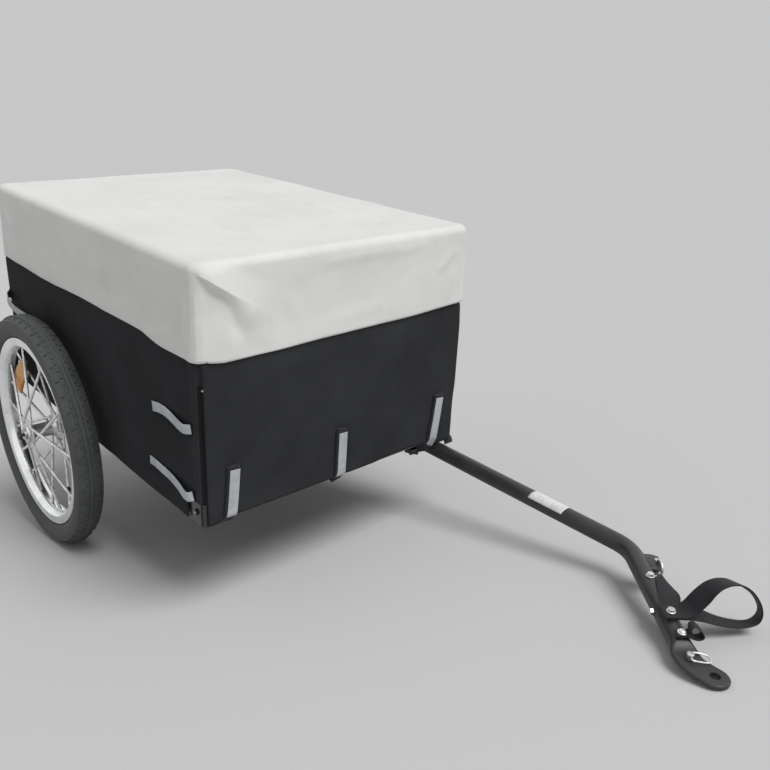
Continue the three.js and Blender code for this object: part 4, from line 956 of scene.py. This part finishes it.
def tub_floor():
    """The fabric floor, which lies on the rails and leaves room for the corner posts."""
    rows = []
    for x in np.linspace(-BODY_LENGTH + 2, -2, 60):
        row = np.array([(x, y, FLOOR_Z + 1.3) for y in np.linspace(-HALF_Y + 2, HALF_Y - 2, 44)])
        row[:, 2] += 0.1 * ripple(row, 70, 21, 1)
        rows.append(row)
    points, faces, _ = loft(rows, around=False)
    middles = np.abs(np.array([points[face].mean(axis=0) for face in faces])[:, :2] + (HALF_X, 0))
    inside = ~(middles > (HALF_X - 12, HALF_Y - 12)).all(axis=1)
    kept = [face for face, within in zip(faces, inside) if within]
    return thicken(add_object("tub_floor", box_mapped(points, kept), NYLON), 1.0)


# Runs of the straps at the foot of the front panel, along their faces: across, height. Then how they turn in
# under the panel: ahead of it, across from the run's end, height.
FRONT_STRAPS = {"right": [(-192.4, 82), (-192.7, 76.8), (-196.0, 40), (-199.0, 14)],
                "middle": [(-5.6, 84), (-6.3, 77.8), (-7.3, 44), (-8.2, 16)],
                "left": [(196.6, 89), (196.3, 83.4), (192, 48.5), (187.4, 17)]}
TURN_IN = [(5.3, -0.6, 9.0), (3.8, -0.8, 5.6), (1.6, -1.0, 2.8), (-0.6, -1.1, 0.0), (-4.5, -1.2, -1.5),
           (-15, -1.4, -1.7)]
LEFT_TURN_IN = [(5.2, -1.6, 7.0), (2.4, -3.4, -0.6), (-3.5, -5.6, -5.6), (-12, -8.0, -9.4), (-19, -9.6, -11.8)]
STRAP_FACE = (1, 0, 0.3)


def build_front_straps():
    """Folded webbing at the foot of the front panel, with grey tape on its face."""
    for name, line in FRONT_STRAPS.items():
        left = name == "left"
        end = line[-1][0] - 1.6
        places = [(5.6, side - 1.6, z) for side, z in line]
        places += [(x, end + y, z) for x, y, z in (LEFT_TURN_IN if left else TURN_IN)]
        path = curve_through(places, 110)
        thick = 2.0 + 3.8 * smooth(3, 14, path[:, 2])
        backing = add_object(f"front_{name}_strap_webbing",
                             sweep(path, [flat_section(19.5, t) for t in thick], STRAP_FACE), WEBBING)
        backing.data.set_sharp_from_angle(angle=math.radians(50))
        dress(backing, "chassis", "black_nylon")
        front = (path[:, 2] < line[1][1]) & (path[:, 2] > (-9.0 if left else 6.4))
        shown = path[front] + (0, 1.7, 0)
        face = np.cross((0, 1, 0), tangents(shown))
        face *= np.sign(face[0, 0]) * (thick[front] / 2 + 0.35)[:, None]
        tape = add_object(f"front_{name}_strap_tape", sweep(shown + face, flat_section(15.2, 0.7), STRAP_FACE), TAPE)
        dress(tape, "chassis", "reflective_tape", f"front_{name}_strap")


# Runs of the slack side straps: width, then ahead of the front panel, off the cloth, height
SIDE_STRAPS = {
    "front_upper": (14.8, [(-122.4, 2.6, 136), (-101.5, 3, 140.2), (-81.2, 3.6, 141.4), (-63.7, 4.6, 139.9),
                           (-45.1, 6, 137.9), (-30.9, 6.6, 137.2), (-22.1, 5, 139), (-15.9, 3.2, 140.8)]),
    "front_lower": (13.0, [(-140.6, 2.6, 45.6), (-125.6, 2.8, 46.4), (-105, 3.4, 45.7), (-83.4, 4.2, 45.5),
                           (-64, 5.6, 44.2), (-46.6, 7.6, 42.4), (-32.5, 9.4, 39.9), (-22.5, 9, 39.9),
                           (-16.2, 4.5, 42.6)]),
    "rear_upper": (13.0, [(-664, 3.4, 164), (-658, 8, 165), (-648, 13.5, 164.5), (-635, 16.5, 160),
                          (-620, 16, 153.5), (-604, 11, 146), (-580, 5, 140.5), (-552, 2.6, 138)]),
}
STRAP_WIDTH = 13.0


def build_side_straps():
    """Slack webbing across the corners of the side panels, each held by a dark keeper at its end."""
    for side, sign in (("right", -1), ("left", 1)):
        for spot, (width, run) in SIDE_STRAPS.items():
            name = f"{side}_{spot}_strap"
            path = curve_through([(x, sign * (HALF_Y + y + 0.6), z) for x, y, z in run], 56)
            widths = np.linspace(width, STRAP_WIDTH, len(path))
            for layer, wide, thick, off, material, slot, nodes in (
                    ("webbing", -0.6, 1.1, 0.0, WEBBING, "black_nylon", ()),
                    ("tape", 0.0, 0.7, 0.85, TAPE, "reflective_tape", (name,))):
                skin = sweep(path + (0, sign * off, 0), [flat_section(w + wide, thick) for w in widths],
                             (0, sign, 0.04))
                dress(add_object(f"{name}_{layer}", skin, material), "chassis", slot, *nodes)
            rear = spot == "rear_upper"
            end = path[0] - (1.6, 0, 0) if rear else path[-1] + (1.6, 0, 0)
            line = [(end[0], sign * (HALF_Y + 3.4), end[2] + rise) for rise in (-8.5, 0, 8.5)]
            keeper = add_object(name + "_keeper", sweep(line, flat_section(3.6, 2.4), (0, sign, 0)), BINDING_AND_RECESS_SHADE)
            dress(keeper, "chassis", "black_nylon")


def build_corner_tab():
    """Small webbing tab under the left front corner."""
    path = curve_through([(-20, 232.5, -1.6), (-10, 232.5, -1.8), (-3, 232.8, -3.6), (1, 233, -8), (2.4, 233, -13)], 30)
    tab = add_object("corner_tab_webbing", sweep(path, flat_section(19.0, 1.8), (1, 0, 0.4)), WEBBING)
    dress(tab, "chassis", "black_nylon")


def build_corner_studs():
    """Small bright studs at the head of each corner recess, and on the shoes' bolts."""
    stud = ((0.2, 1.5), (0.9, 1.3), (1.4, 0.5), (1.5, -1.5), (0.2, -1.5))
    head = ((0.3, 4.2), (1.2, 4.1), (2.4, 3.5), (2.9, 0.4), (0.3, 0.2))
    skins = []
    for sx, sy in CORNERS:
        skins.append(disc_stack((sx * (HALF_X + 2.6) - HALF_X, sy * 233.2, 198.5), stud, 14, (sx, 0, 0.1)))
        skins.append(disc_stack((sx * (HALF_X - 17.6) - HALF_X, sy * 238.3, 15.3), head, 6, (0, sy, 0), 0.3))
    make("corner_studs", join_skins(*skins), DULL_ZINC, "chassis", "zinc_steel", sharp=40)


build_cover()
build_tub()
build_front_straps()
build_side_straps()
build_corner_tab()

# Wheels. Their points are made about the axle, with the outer side towards -Y, then set on each side.
# Profiles are [radius, y] pairs, half of each section where it is alike on both sides.
TYRE_HALF = [(152.5, 12.0), (158.0, 12.3), (163.4, 12.4), (164.6, 13.6), (166.2, 16.2), (168.0, 17.6), (169.2, 18.6),
             (170.2, 18.9), (171.4, 19.3), (174.0, 20.6), (177.0, 21.5), (180.8, 21.95), (184.0, 21.9), (187.0, 21.4),
             (189.4, 20.5), (190.4, 20.6), (191.4, 20.5), (192.3, 19.7), (192.5, 18.2), (193.6, 16.6), (195.3, 13.6),
             (196.9, 9.9), (197.8, 6.4), (198.1, 5.2), (197.2, 4.6), (197.3, 3.2), (198.4, 2.6), (198.6, 0.9)]
TYRE_INNER = [(152.5, -9.2), (163.3, -9.3), (172.0, -15.4), (181.0, -18.4), (190.0, -13.8), (195.2, -6.0)]
RIM_WALL = [(163.0, 14.7), (161.2, 15.2), (159.4, 14.6), (150.5, 14.3), (147.0, 11.5), (143.6, 6.0), (143.0, 2.0)]
RIM_LINING = [(162.6, -13.0), (160.6, -12.6), (152.0, -12.0), (149.0, -10.2), (145.6, -6.0), (145.0, -2.0)]
HUB_SHELL = [(12.4, 29.0), (14.6, 29.0), (16.0, 27.8), (16.0, 25.6), (24.6, 25.4), (26.0, 24.6), (26.0, 22.9),
             (24.6, 22.1), (19.0, 21.8), (15.2, 19.0), (12.8, 13.0), (12.2, 0.0)]
HUB_BORE = [(8.0, -27.6), (8.0, 27.6)]
# The valve's stem and ribbed cap: distance from the axle, radius
VALVE = [(166, 3.2), (143, 3.2), (141.8, 4.6), (139.4, 4.6), (138.8, 3.1), (129.5, 3.1), (129.0, 3.9), (117.5, 3.9),
         (113.5, 2.6), (112.6, 0.6)]
VALVE_ANGLE = math.radians(-40)
SPOKES, FLANGE_Y, FLANGE_RADIUS, SPOKE_TIP, SPOKE_CROSS = 20, 23.8, 22.0, 141.5, math.radians(52)
TREAD_RINGS = ((197.7, 8.6, 12), (197.7, -8.6, 12))
TICK_RINGS = ((194.6, 15.0, 42), (194.6, -15.0, 42))
TREAD = tread_grower()
SPOKE_WIRE = wire_grower("spoke_wire", SPOKE_STEEL)
NIPPLES = wire_grower("spoke_nipples", ZINC)


def revolve(profile, segments):
    """A closed [radius, y] profile turned about the axle line."""
    return loft([[(r * math.cos(a), y, r * math.sin(a)) for r, y in profile] for a in turns(segments)], closed=True)


def on_wheel(points, sign):
    """Wheel points to the level frame; the left wheel is the right one turned about."""
    return np.asarray(points, float) * (-sign, -sign, 1) + (AXLE_X, sign * WHEEL_Y, AXLE_Z)


def tread_lines(sign, rings):
    """Rings of [radius, y, lean] on the tyre, each point with its outward direction."""
    points, edges, outward = [], [], []
    steps = 180
    for radius, y, lean in rings:
        first = len(points)
        tip = math.copysign(math.radians(lean), y)
        for i in range(steps):
            angle = (i + (2 if y > 0 else 0)) / steps * 2 * math.pi
            points.append((radius * math.cos(angle), y, radius * math.sin(angle)))
            outward.append((math.cos(tip) * math.cos(angle), math.sin(tip), math.cos(tip) * math.sin(angle)))
        edges += [(first + i, first + (i + 1) % steps) for i in range(steps)]
    outward = np.array(outward) * (-sign, -sign, 1)
    mesh = line_mesh(on_wheel(points, sign), edges)
    attribute = mesh.attributes.new("outward", "FLOAT_VECTOR", "POINT")
    attribute.data.foreach_set("vector", (outward @ TURN.T).astype(np.float32).ravel())
    return mesh


def spoke_ends():
    """Root and tip of each spoke, in the wheel's own frame."""
    for i in range(SPOKES):
        side, lead = (-1 if i % 2 == 0 else 1), (1 if (i // 2) % 2 == 0 else -1)
        tip_angle = i / SPOKES * 2 * math.pi
        angle = tip_angle + lead * SPOKE_CROSS
        root = (FLANGE_RADIUS * math.cos(angle), side * (FLANGE_Y + lead * 1.9), FLANGE_RADIUS * math.sin(angle))
        tip = (SPOKE_TIP * math.cos(tip_angle), side * 1.6, SPOKE_TIP * math.sin(tip_angle))
        yield np.array(root), np.array(tip)


def build_wheel(side, sign):
    body = f"{side}_wheel"

    def turned(name, profile, segments, material, slot, node):
        points, faces, uvs = revolve(profile, segments)
        make(f"{side}_{name}", (on_wheel(points, sign), faces, uvs), material, body, slot, f"{side}_{node}")

    def wires(grower, name, pairs, radius):
        ends = on_wheel(np.concatenate(pairs), sign)
        made = grower.grow(f"{side}_{name}", line_mesh(ends, [(i, i + 1) for i in range(0, len(ends), 2)]),
                           Radius=radius)
        dress(made, body, "zinc_steel")
        return made

    turned("tyre_rubber", mirrored(TYRE_HALF) + mirrored(TYRE_INNER), 144, TYRE, "tyre_rubber", "tyre")
    dress(TREAD.grow(f"{side}_tyre_tread", tread_lines(sign, TREAD_RINGS)), body, "tyre_rubber")
    ticks = TREAD.grow(f"{side}_tyre_ticks", tread_lines(sign, TICK_RINGS), Pitch=0.0255, Length=0.0022,
                       Width=0.006, Height=0.0017)
    dress(ticks, body, "tyre_rubber")
    rim = rounded(mirrored(RIM_WALL) + mirrored(RIM_LINING), 0.9)
    turned("rim_alloy", rim, 144, POLISHED, "polished_alloy", "rim")
    spokes = list(spoke_ends())
    wires(SPOKE_WIRE, "spokes", spokes, 0.0024).data.shade_smooth()
    wires(NIPPLES, "spoke_nipples", [(tip - unit(tip - root) * 13, tip + (tip - root) * 0.004)
                                     for root, tip in spokes], 0.0026)
    hub = rounded(HUB_SHELL + mirrored(HUB_SHELL[:-1])[len(HUB_SHELL) - 1:] + HUB_BORE, 0.7)
    turned("hub_shell", hub, 56, ZINC, "zinc_steel", "spoked_hub")
    outs = [np.array([0, math.copysign(1.0, root[1]), 0]) for root, _ in spokes]
    wires(NIPPLES, "spoke_heads", [(root - out * 3.2, root + out * 1.6) for (root, _), out in zip(spokes, outs)],
          0.0023)
    build_tube(side, sign, body)
    build_reflector(side, sign, body)


def build_tube(side, sign, body):
    """Inner tube with its stem through the rim and a ribbed cap."""
    ring = revolve([(179.3 + 14.6 * math.cos(a), 14.2 * math.sin(a)) for a in turns(20)], 96)
    points, faces, uvs = loft([[(r, w * math.cos(a), w * math.sin(a)) for a in turns(16)] for r, w in VALVE],
                              caps=True)
    x, z = points[:, 0].copy(), points[:, 2].copy()
    points[:, 0] = x * math.cos(VALVE_ANGLE) - z * math.sin(VALVE_ANGLE)
    points[:, 2] = x * math.sin(VALVE_ANGLE) + z * math.cos(VALVE_ANGLE)
    points, faces, uvs = join_skins(ring, (points, faces, uvs))
    make(f"{side}_inner_tube_rubber", (on_wheel(points, sign), faces, uvs), TUBE_RUBBER, body, "tube_rubber",
         f"{side}_inner_tube")


def build_reflector(side, sign, body):
    """Amber reflector that sits between the two rows of spokes, with two clips at its leading end."""
    middle, half, half_arc, face, lean = 109.0, 15.6, math.radians(20.5), 3.4, math.radians(136)
    outline = [(middle + way * half * (1 - 0.14 * t ** 4), half_arc * t)
               for way in (1, -1) for t in np.linspace(-way, way, 25)]
    rows = []
    for inset, y in ((15.4, -face), (6.0, -face), (2.4, -face + 0.3), (0.5, -face + 1.1), (0, -0.6), (0, 0.6),
                     (0.5, face - 1.1), (2.4, face - 0.3), (6.0, face), (15.4, face)):
        share = 1 - inset / half
        spots = [(middle + (r - middle) * share, arc * (0.5 + share / 2) + lean) for r, arc in outline]
        rows.append([(r * math.cos(angle), y, r * math.sin(angle)) for r, angle in spots])
    points, faces, uvs = loft(rows, caps=True)
    make(f"{side}_reflector_lens", (on_wheel(points, sign), faces, uvs), AMBER, body, "amber_plastic",
         f"{side}_wheel_reflector", sharp=35)
    angle = lean - half_arc - 0.035
    out, run = np.array([math.cos(angle), 0, math.sin(angle)]), np.array([math.sin(angle), 0, -math.cos(angle)])
    clips = [sweep([out * spot + run * d for d in (-3.0, 0, 3.5, 6.5)], flat_section(6.4, 4.2), (0, 1, 0))
             for spot in (middle - 8, middle + 8)]
    points, faces, uvs = join_skins(*clips)
    make(f"{side}_reflector_clips", (on_wheel(points, sign), faces, uvs), CLIP_PLASTIC, body, "amber_plastic")


build_wheel("right", -1)
build_wheel("left", 1)


# Tow arm
def on_leg(distance, out=0.0, rise=0.0):
    return ARM_CORNER + LEG * distance + OUT * out + np.array([0, 0, rise])


def half_size(distance, flat):
    """Half a size of the arm's section, which goes from round to flat along the leg."""
    return ARM_RADIUS + (flat / 2 - ARM_RADIUS) * float(smooth(FLAT_FROM, FLAT_TO, distance))


def half_height(distance):
    return half_size(distance, EYE_THICKNESS)


def arm_section(width, height, sides=36):
    """Round tube section that turns into a flat one with rounded edges."""
    angles = [(j + 0.5) * 2 * math.pi / sides for j in range(sides)]
    return [(math.cos(a) * height / 2 + math.copysign((width - height) / 2, math.cos(a)), math.sin(a) * height / 2)
            for a in angles]


def build_arm():
    tail = np.array([ARM_TAIL_X, ARM_Y, ARM_Z])
    path = [tail, tail + (2, 0, 0)] + [tail + (ARM_CORNER - tail) * t for t in np.linspace(0.1, 0.93, 12)]
    path += bend(ARM_CORNER, tail, EYE_CORNER, 24, 16)
    path += [on_leg(d) for d in np.linspace(34, LEG_LENGTH - 17, 48)]
    path += bend(EYE_CORNER, ARM_CORNER, EYE, 15, 12)
    path += [EYE_CORNER + (EYE - EYE_CORNER) * t for t in (0.62, 0.75, 0.88, 1.0)]
    sizes = []
    for point in path:
        distance = (point - ARM_CORNER) @ LEG if point[0] > ARM_CORNER_X - 1 else 0
        if point[1] < EYE_CORNER[1] + 6 and point[0] > EYE_CORNER[0] - 6:
            distance = LEG_LENGTH
        height = 2 * half_height(distance)
        sizes.append((max(2 * half_size(distance, EYE_WIDTH), height), height))
    for angle in np.linspace(0, math.pi / 2, 12)[1:]:
        reach = (EYE_WIDTH - EYE_THICKNESS) / 2 * math.sin(angle) + EYE_THICKNESS * angle / math.pi
        path.append(EYE + (reach, 0, 0))
        sizes.append((EYE_THICKNESS + (EYE_WIDTH - EYE_THICKNESS) * math.cos(angle), EYE_THICKNESS))
    make("tow_arm_steel", sweep(path, [arm_section(w, h) for w, h in sizes]), ARM_PAINT, "tow_arm", "black_steel",
         "tow_arm_tube", hole=disc_stack(EYE, ((EYE_RADIUS, -30), (EYE_RADIUS, 30))), sharp=40)


def build_bolt_heads():
    """Six-sided heads on washers, crowned on top, each over what lies under it on the leg."""
    for name, distance, stack, half in (("upper_leg", 81, 0.3, 4.6), ("strap_loop", 157, 3.8, 11),
                                        ("keeper", 195, 3.8, 6)):
        foot = half_height(distance - half) + stack
        top = foot + 0.9
        washer = disc_stack(on_leg(distance), ((0.4, foot), (5.7, foot), (5.7, top), (0.4, top)), 28)
        head = disc_stack(on_leg(distance), ((0.5, top), (4.2, top), (4.2, foot + 2.8), (4.2 * 0.84, foot + 3.3),
                                             (0.5, foot + 3.6)), 6, start=0.2)
        make(f"{name}_bolt_head", join_skins(washer, head), ZINC, "tow_arm", "zinc_steel", bevel=0.25, sharp=50)


WEBBING_THICKNESS = 1.6
# The strap's free loop: outward, up, and the degrees by which the band is turned there, from its upper end
# round to its lower one
SAFETY_LOOP = [(16, 3.4, 12), (23.2, 9.0, 26), (28.6, 17.4, 30), (34.5, 26.2, 28), (40.6, 34.9, 15), (47.6, 41.2, 1),
               (54.3, 44.3, -8), (61.9, 45.7, -15), (69.8, 44.6, -21), (76.4, 42.0, -23), (85.2, 36.4, -19),
               (94.7, 27.9, -9), (101.6, 18.6, -1), (105.9, 9.6, 6), (107.6, 2.1, 13), (106.8, -4.4, 17),
               (103.6, -9.3, 20), (98.6, -12.4, 21), (92.6, -13.8, 19), (84.5, -14.1, 15), (74.5, -13.2, 11),
               (64.7, -11.5, 7), (54.2, -8.6, 3), (44.6, -5.2, -1), (35.5, -2.6, -4), (24, -1.2, -2)]
KEEPER_LOOP = [(8.6, 4.0, 0), (7.6, 8.6, 0), (8.6, 12.4, 0), (12.6, 13.0, 0), (18.6, 8.2, 0), (24.0, 1.0, 0),
               (23.4, -3.4, 0), (17.6, -5.0, 0), (11.8, -3.2, 0)]
# The strap's tail from the steel ring to the bolt, as its two edges: along the leg, outward, up
TAIL_LEFT = [(66, 15.5, 2), (74, 11.5, 7.5), (84, 6.4, 12.2), (96, 2.4, 13.8), (112, -1.2, 13.8), (130, -5, 13.7),
             (150, -9, 13.6)]
TAIL_RIGHT = [(63, 20.5, 3), (70, 18.2, 8.5), (80, 16.6, 12.6), (95, 17.2, 14.2), (111, 19.4, 15.8),
              (129, 20.4, 18.6), (147, 15.5, 17.0)]


def loop_strap(free, distance, width, pad):
    """Webbing whose two ends lie together under a bolt, with a free loop."""
    base = half_height(distance - width / 2) + 0.3 + WEBBING_THICKNESS / 2
    points = [(pad, base, 0), (0, base, 0), (-pad * 0.7, base, 0), (-pad - 1.4, base + 0.95, 0),
              (-pad * 0.7, base + 1.9, 0), (0, base + 1.9, 0), (pad, base + 2.0, 0)]
    # A twentieth of each angle, so that the turn hardly counts as length
    points += [(out, base + 0.95 + rise, turn / 20) for out, rise, turn in free]
    curve = curve_through(points, 190, closed=True)
    path = np.array([on_leg(distance, out, rise) for out, rise, _ in curve])
    turn = np.radians(curve[:, 2:] * 20)
    normal = np.cross(tangents(path, True), LEG)
    across = LEG * np.cos(turn) + normal * np.sin(turn)
    through = normal * np.cos(turn) - LEG * np.sin(turn)
    return loft(rows_about(path, across, through, flat_section(width, WEBBING_THICKNESS)), closed=True)


def build_loops():
    left, right = (np.array([on_leg(*point) for point in curve_through(edge, 40)]) for edge in (TAIL_LEFT, TAIL_RIGHT))
    centre, across = (left + right) / 2, unit(right - left)
    through = unit(np.cross(across, np.gradient(centre, axis=0)))
    sections = [flat_section(wide, WEBBING_THICKNESS) for wide in np.linalg.norm(right - left, axis=1)]
    tail = loft(rows_about(centre, across, through, sections), caps=True)
    make("safety_strap_webbing", join_skins(loop_strap(SAFETY_LOOP, 157, 24.6, 9.2), tail), WEBBING, "tow_arm",
         "black_nylon", "safety_strap")
    make("keeper_webbing", loop_strap(KEEPER_LOOP, 195, 12, 6.0), WEBBING, "tow_arm", "black_nylon", "keeper_loop")


def build_lug():
    """Bent plate on the outer side of the bend: two cheeks joined round its tip, with a bright bolt through."""
    skins = []
    for low, high in ((-5.0, -1.4), (1.4, 5.0)):
        rows = []
        for rise, inset in ((low, 0.5), (low + 0.4, 0.0), (high - 0.4, 0.0), (high, 0.5)):
            outline = [(54 - inset, 12.0), (54 - inset, 19.0), (46 - inset, 27.5)]
            outline += [(36.5 + (8 - inset) * math.cos(t), 26 + (6.5 - inset) * math.sin(t))
                        for t in np.linspace(0.6, 2.2, 12)]
            outline += [(24 + inset, 30.0 - inset), (19.6 + inset, 22.0), (18.5 + inset, 12.0)]
            rows.append([on_leg(along, out, rise) for along, out in outline])
        skins.append(loft(rows, caps=True))
    core = ((50, 12.2), (44, 20), (26, 20), (22, 12.2))
    skins.append(loft([[on_leg(along, out, rise) for along, out in core] for rise in (-1.6, 1.6)], caps=True))
    make("strap_lug_steel", join_skins(*skins), ARM_PAINT, "tow_arm", "black_steel", "strap_lug", bevel=0.35,
         bevel_from=50, sharp=50)
    bolt = ((0.3, -6.6), (3.6, -6.4), (4.2, -5.1), (4.2, 5.1), (3.8, 6.6), (2.2, 7.6), (0.3, 7.9))
    make("lug_bolt_steel", disc_stack(on_leg(34.5, 26.0), bolt, 24), ZINC, "tow_arm", "zinc_steel", sharp=40)


def build_ring():
    """Steel ring that hangs in the lug."""
    centre = on_leg(34.5 + 4.5 - 0.6 + math.sqrt(8.5 ** 2 - 25), 26.0)
    path = [centre + LEG * 10.5 * math.cos(a) + UPRIGHT * 10.5 * math.sin(a) for a in turns(64)]
    make("strap_ring_steel", sweep(path, circle(2.0, 14), OUT, closed=True), ZINC, "tow_arm", "zinc_steel",
         "strap_ring")


def build_pin():
    """Hitch pin with a collared head, and the wire ring that pulls it."""
    steps = ((0.4, -9.0), (2.2, -9.0), (3.0, -8.0), (3.0, 3.3), (4.0, 3.3), (4.4, 3.9), (4.4, 11.2), (3.6, 12.1),
             (0.4, 12.4))
    make("hitch_pin_steel", disc_stack(PIN, steps, 32), ZINC, "pin", "zinc_steel", "hitch_pin", sharp=40)
    outline = [(-0.5, 0), (0.5, 0), (0.95, 0.06), (1, 0.3), (1, 0.6), (0.8, 0.9), (0.3, 1), (-0.3, 1), (-0.8, 0.9),
               (-1, 0.6), (-1, 0.3), (-0.95, 0.06)]
    droop = math.tan(math.radians(10))
    anchors = [PIN + LEG * 7.6 * a + OUT * 24 * o + UPRIGHT * (7.8 - 24 * o * droop) for a, o in outline]
    wire = sweep(curve_through(anchors, 90, closed=True), circle(1.0, 10), (0, 0.02, 1), closed=True)
    make("pull_ring_wire", wire, SPOKE_STEEL, "ring", "zinc_steel", "pull_ring")


def build_label():
    """Plain white patch that wraps the arm's upper side."""
    radius = ARM_RADIUS + 0.2
    rows = [[(x + 2.2 * (1.12 - t), ARM_Y - radius * math.sin(t), ARM_Z + radius * math.cos(t))
             for t in np.linspace(-0.7, 1.12, 18)] for x in np.linspace(206, 268, 18)]
    label = thicken(add_object("blank_label_patch", loft(rows, around=False), LABEL), 0.12, True)
    fix_outward(label)
    dress(label, "tow_arm", "black_steel")


build_arm()
build_bolt_heads()
build_loops()
build_lug()
build_corner_studs()
build_ring()
build_pin()
build_label()

# Finishes of the solids that stay as they are
ENDS = [f"{end}_{side}" for end in ("front", "rear") for side in ("right", "left")]
BOLTS = ["arm_pivot_bolt", "upper_leg_bolt", "cross_bolt", "strap_loop_bolt", "keeper_bolt"]
KEPT = {
    BLACK_STEEL: ["right_side_rail", "left_side_rail", "front_rail", "rear_rail", "cross_member", "axle_beam",
                  "top_frame", "arm_bracket", *(end + "_post" for end in ENDS)],
    CAST: [end + "_corner_shoe" for end in ENDS],
    PLYWOOD: ["floor_board"],
    ZINC: BOLTS + [f"{side}_{part}" for side in ("right", "left")
                   for part in ("stub_axle", "outer_bearing", "inner_bearing")],
    BLACK_PLASTIC: ["right_release_button", "left_release_button", "clamp_knob"],
}
for finish, nodes in KEPT.items():
    for node_name in nodes:
        frame["nodes"][node_name].data.materials.clear()
        frame["nodes"][node_name].data.materials.append(finish)

# Stage: strength of the plain light, of what shines back, and of what the camera sees beyond the floor
PLAIN_LIGHT, MIRRORED_LIGHT, BACKDROP = 0.38, 0.93, 0.575
FLOOR_REACH = 60.0
SUN_STRENGTH, SUN_SPREAD, SUN_WAY = 2.15, math.radians(35), (-0.75, -0.15, -1.0)


def build_stage():
    net = Net("studio_floor")
    soft = net.noise(net.coordinates(), 0.6, 2.0)
    material = net.surface(net.mix(soft, (0.62, 0.62, 0.62), (0.63, 0.63, 0.63)), 1.0, specular=0.0)
    rows = [[(x * FLOOR_REACH, y * FLOOR_REACH, 0) for x in (-1, 1)] for y in (-1, 1)]
    add_object("studio_floor", loft(rows, around=False), material, placed=False)
    world = bpy.data.worlds.new("studio")
    bpy.context.scene.world = world
    world.use_nodes = True
    tree = world.node_tree
    tree.nodes.clear()
    path = tree.nodes.new("ShaderNodeLightPath")
    plain, mirror, backdrop = (add_node(tree, "ShaderNodeBackground", {"Color": (1, 1, 1, 1), "Strength": strength}, {})
                               for strength in (PLAIN_LIGHT, MIRRORED_LIGHT, BACKDROP))
    shown = plain.outputs[0]
    for ray, light in (("Is Glossy Ray", mirror), ("Is Transmission Ray", mirror), ("Is Camera Ray", backdrop)):
        inputs = {0: path.outputs[ray], 1: shown, 2: light.outputs[0]}
        shown = add_node(tree, "ShaderNodeMixShader", inputs, {}).outputs[0]
    add_node(tree, "ShaderNodeOutputWorld", {0: shown}, {})
    data = bpy.data.lights.new("key", "SUN")
    data.energy, data.angle = SUN_STRENGTH, SUN_SPREAD
    lamp = show("key", data)
    lamp.rotation_mode = "QUATERNION"
    lamp.rotation_quaternion = Vector(SUN_WAY).to_track_quat("-Z", "Y")


build_stage()
bpy.context.scene.view_settings.view_transform = "Standard"
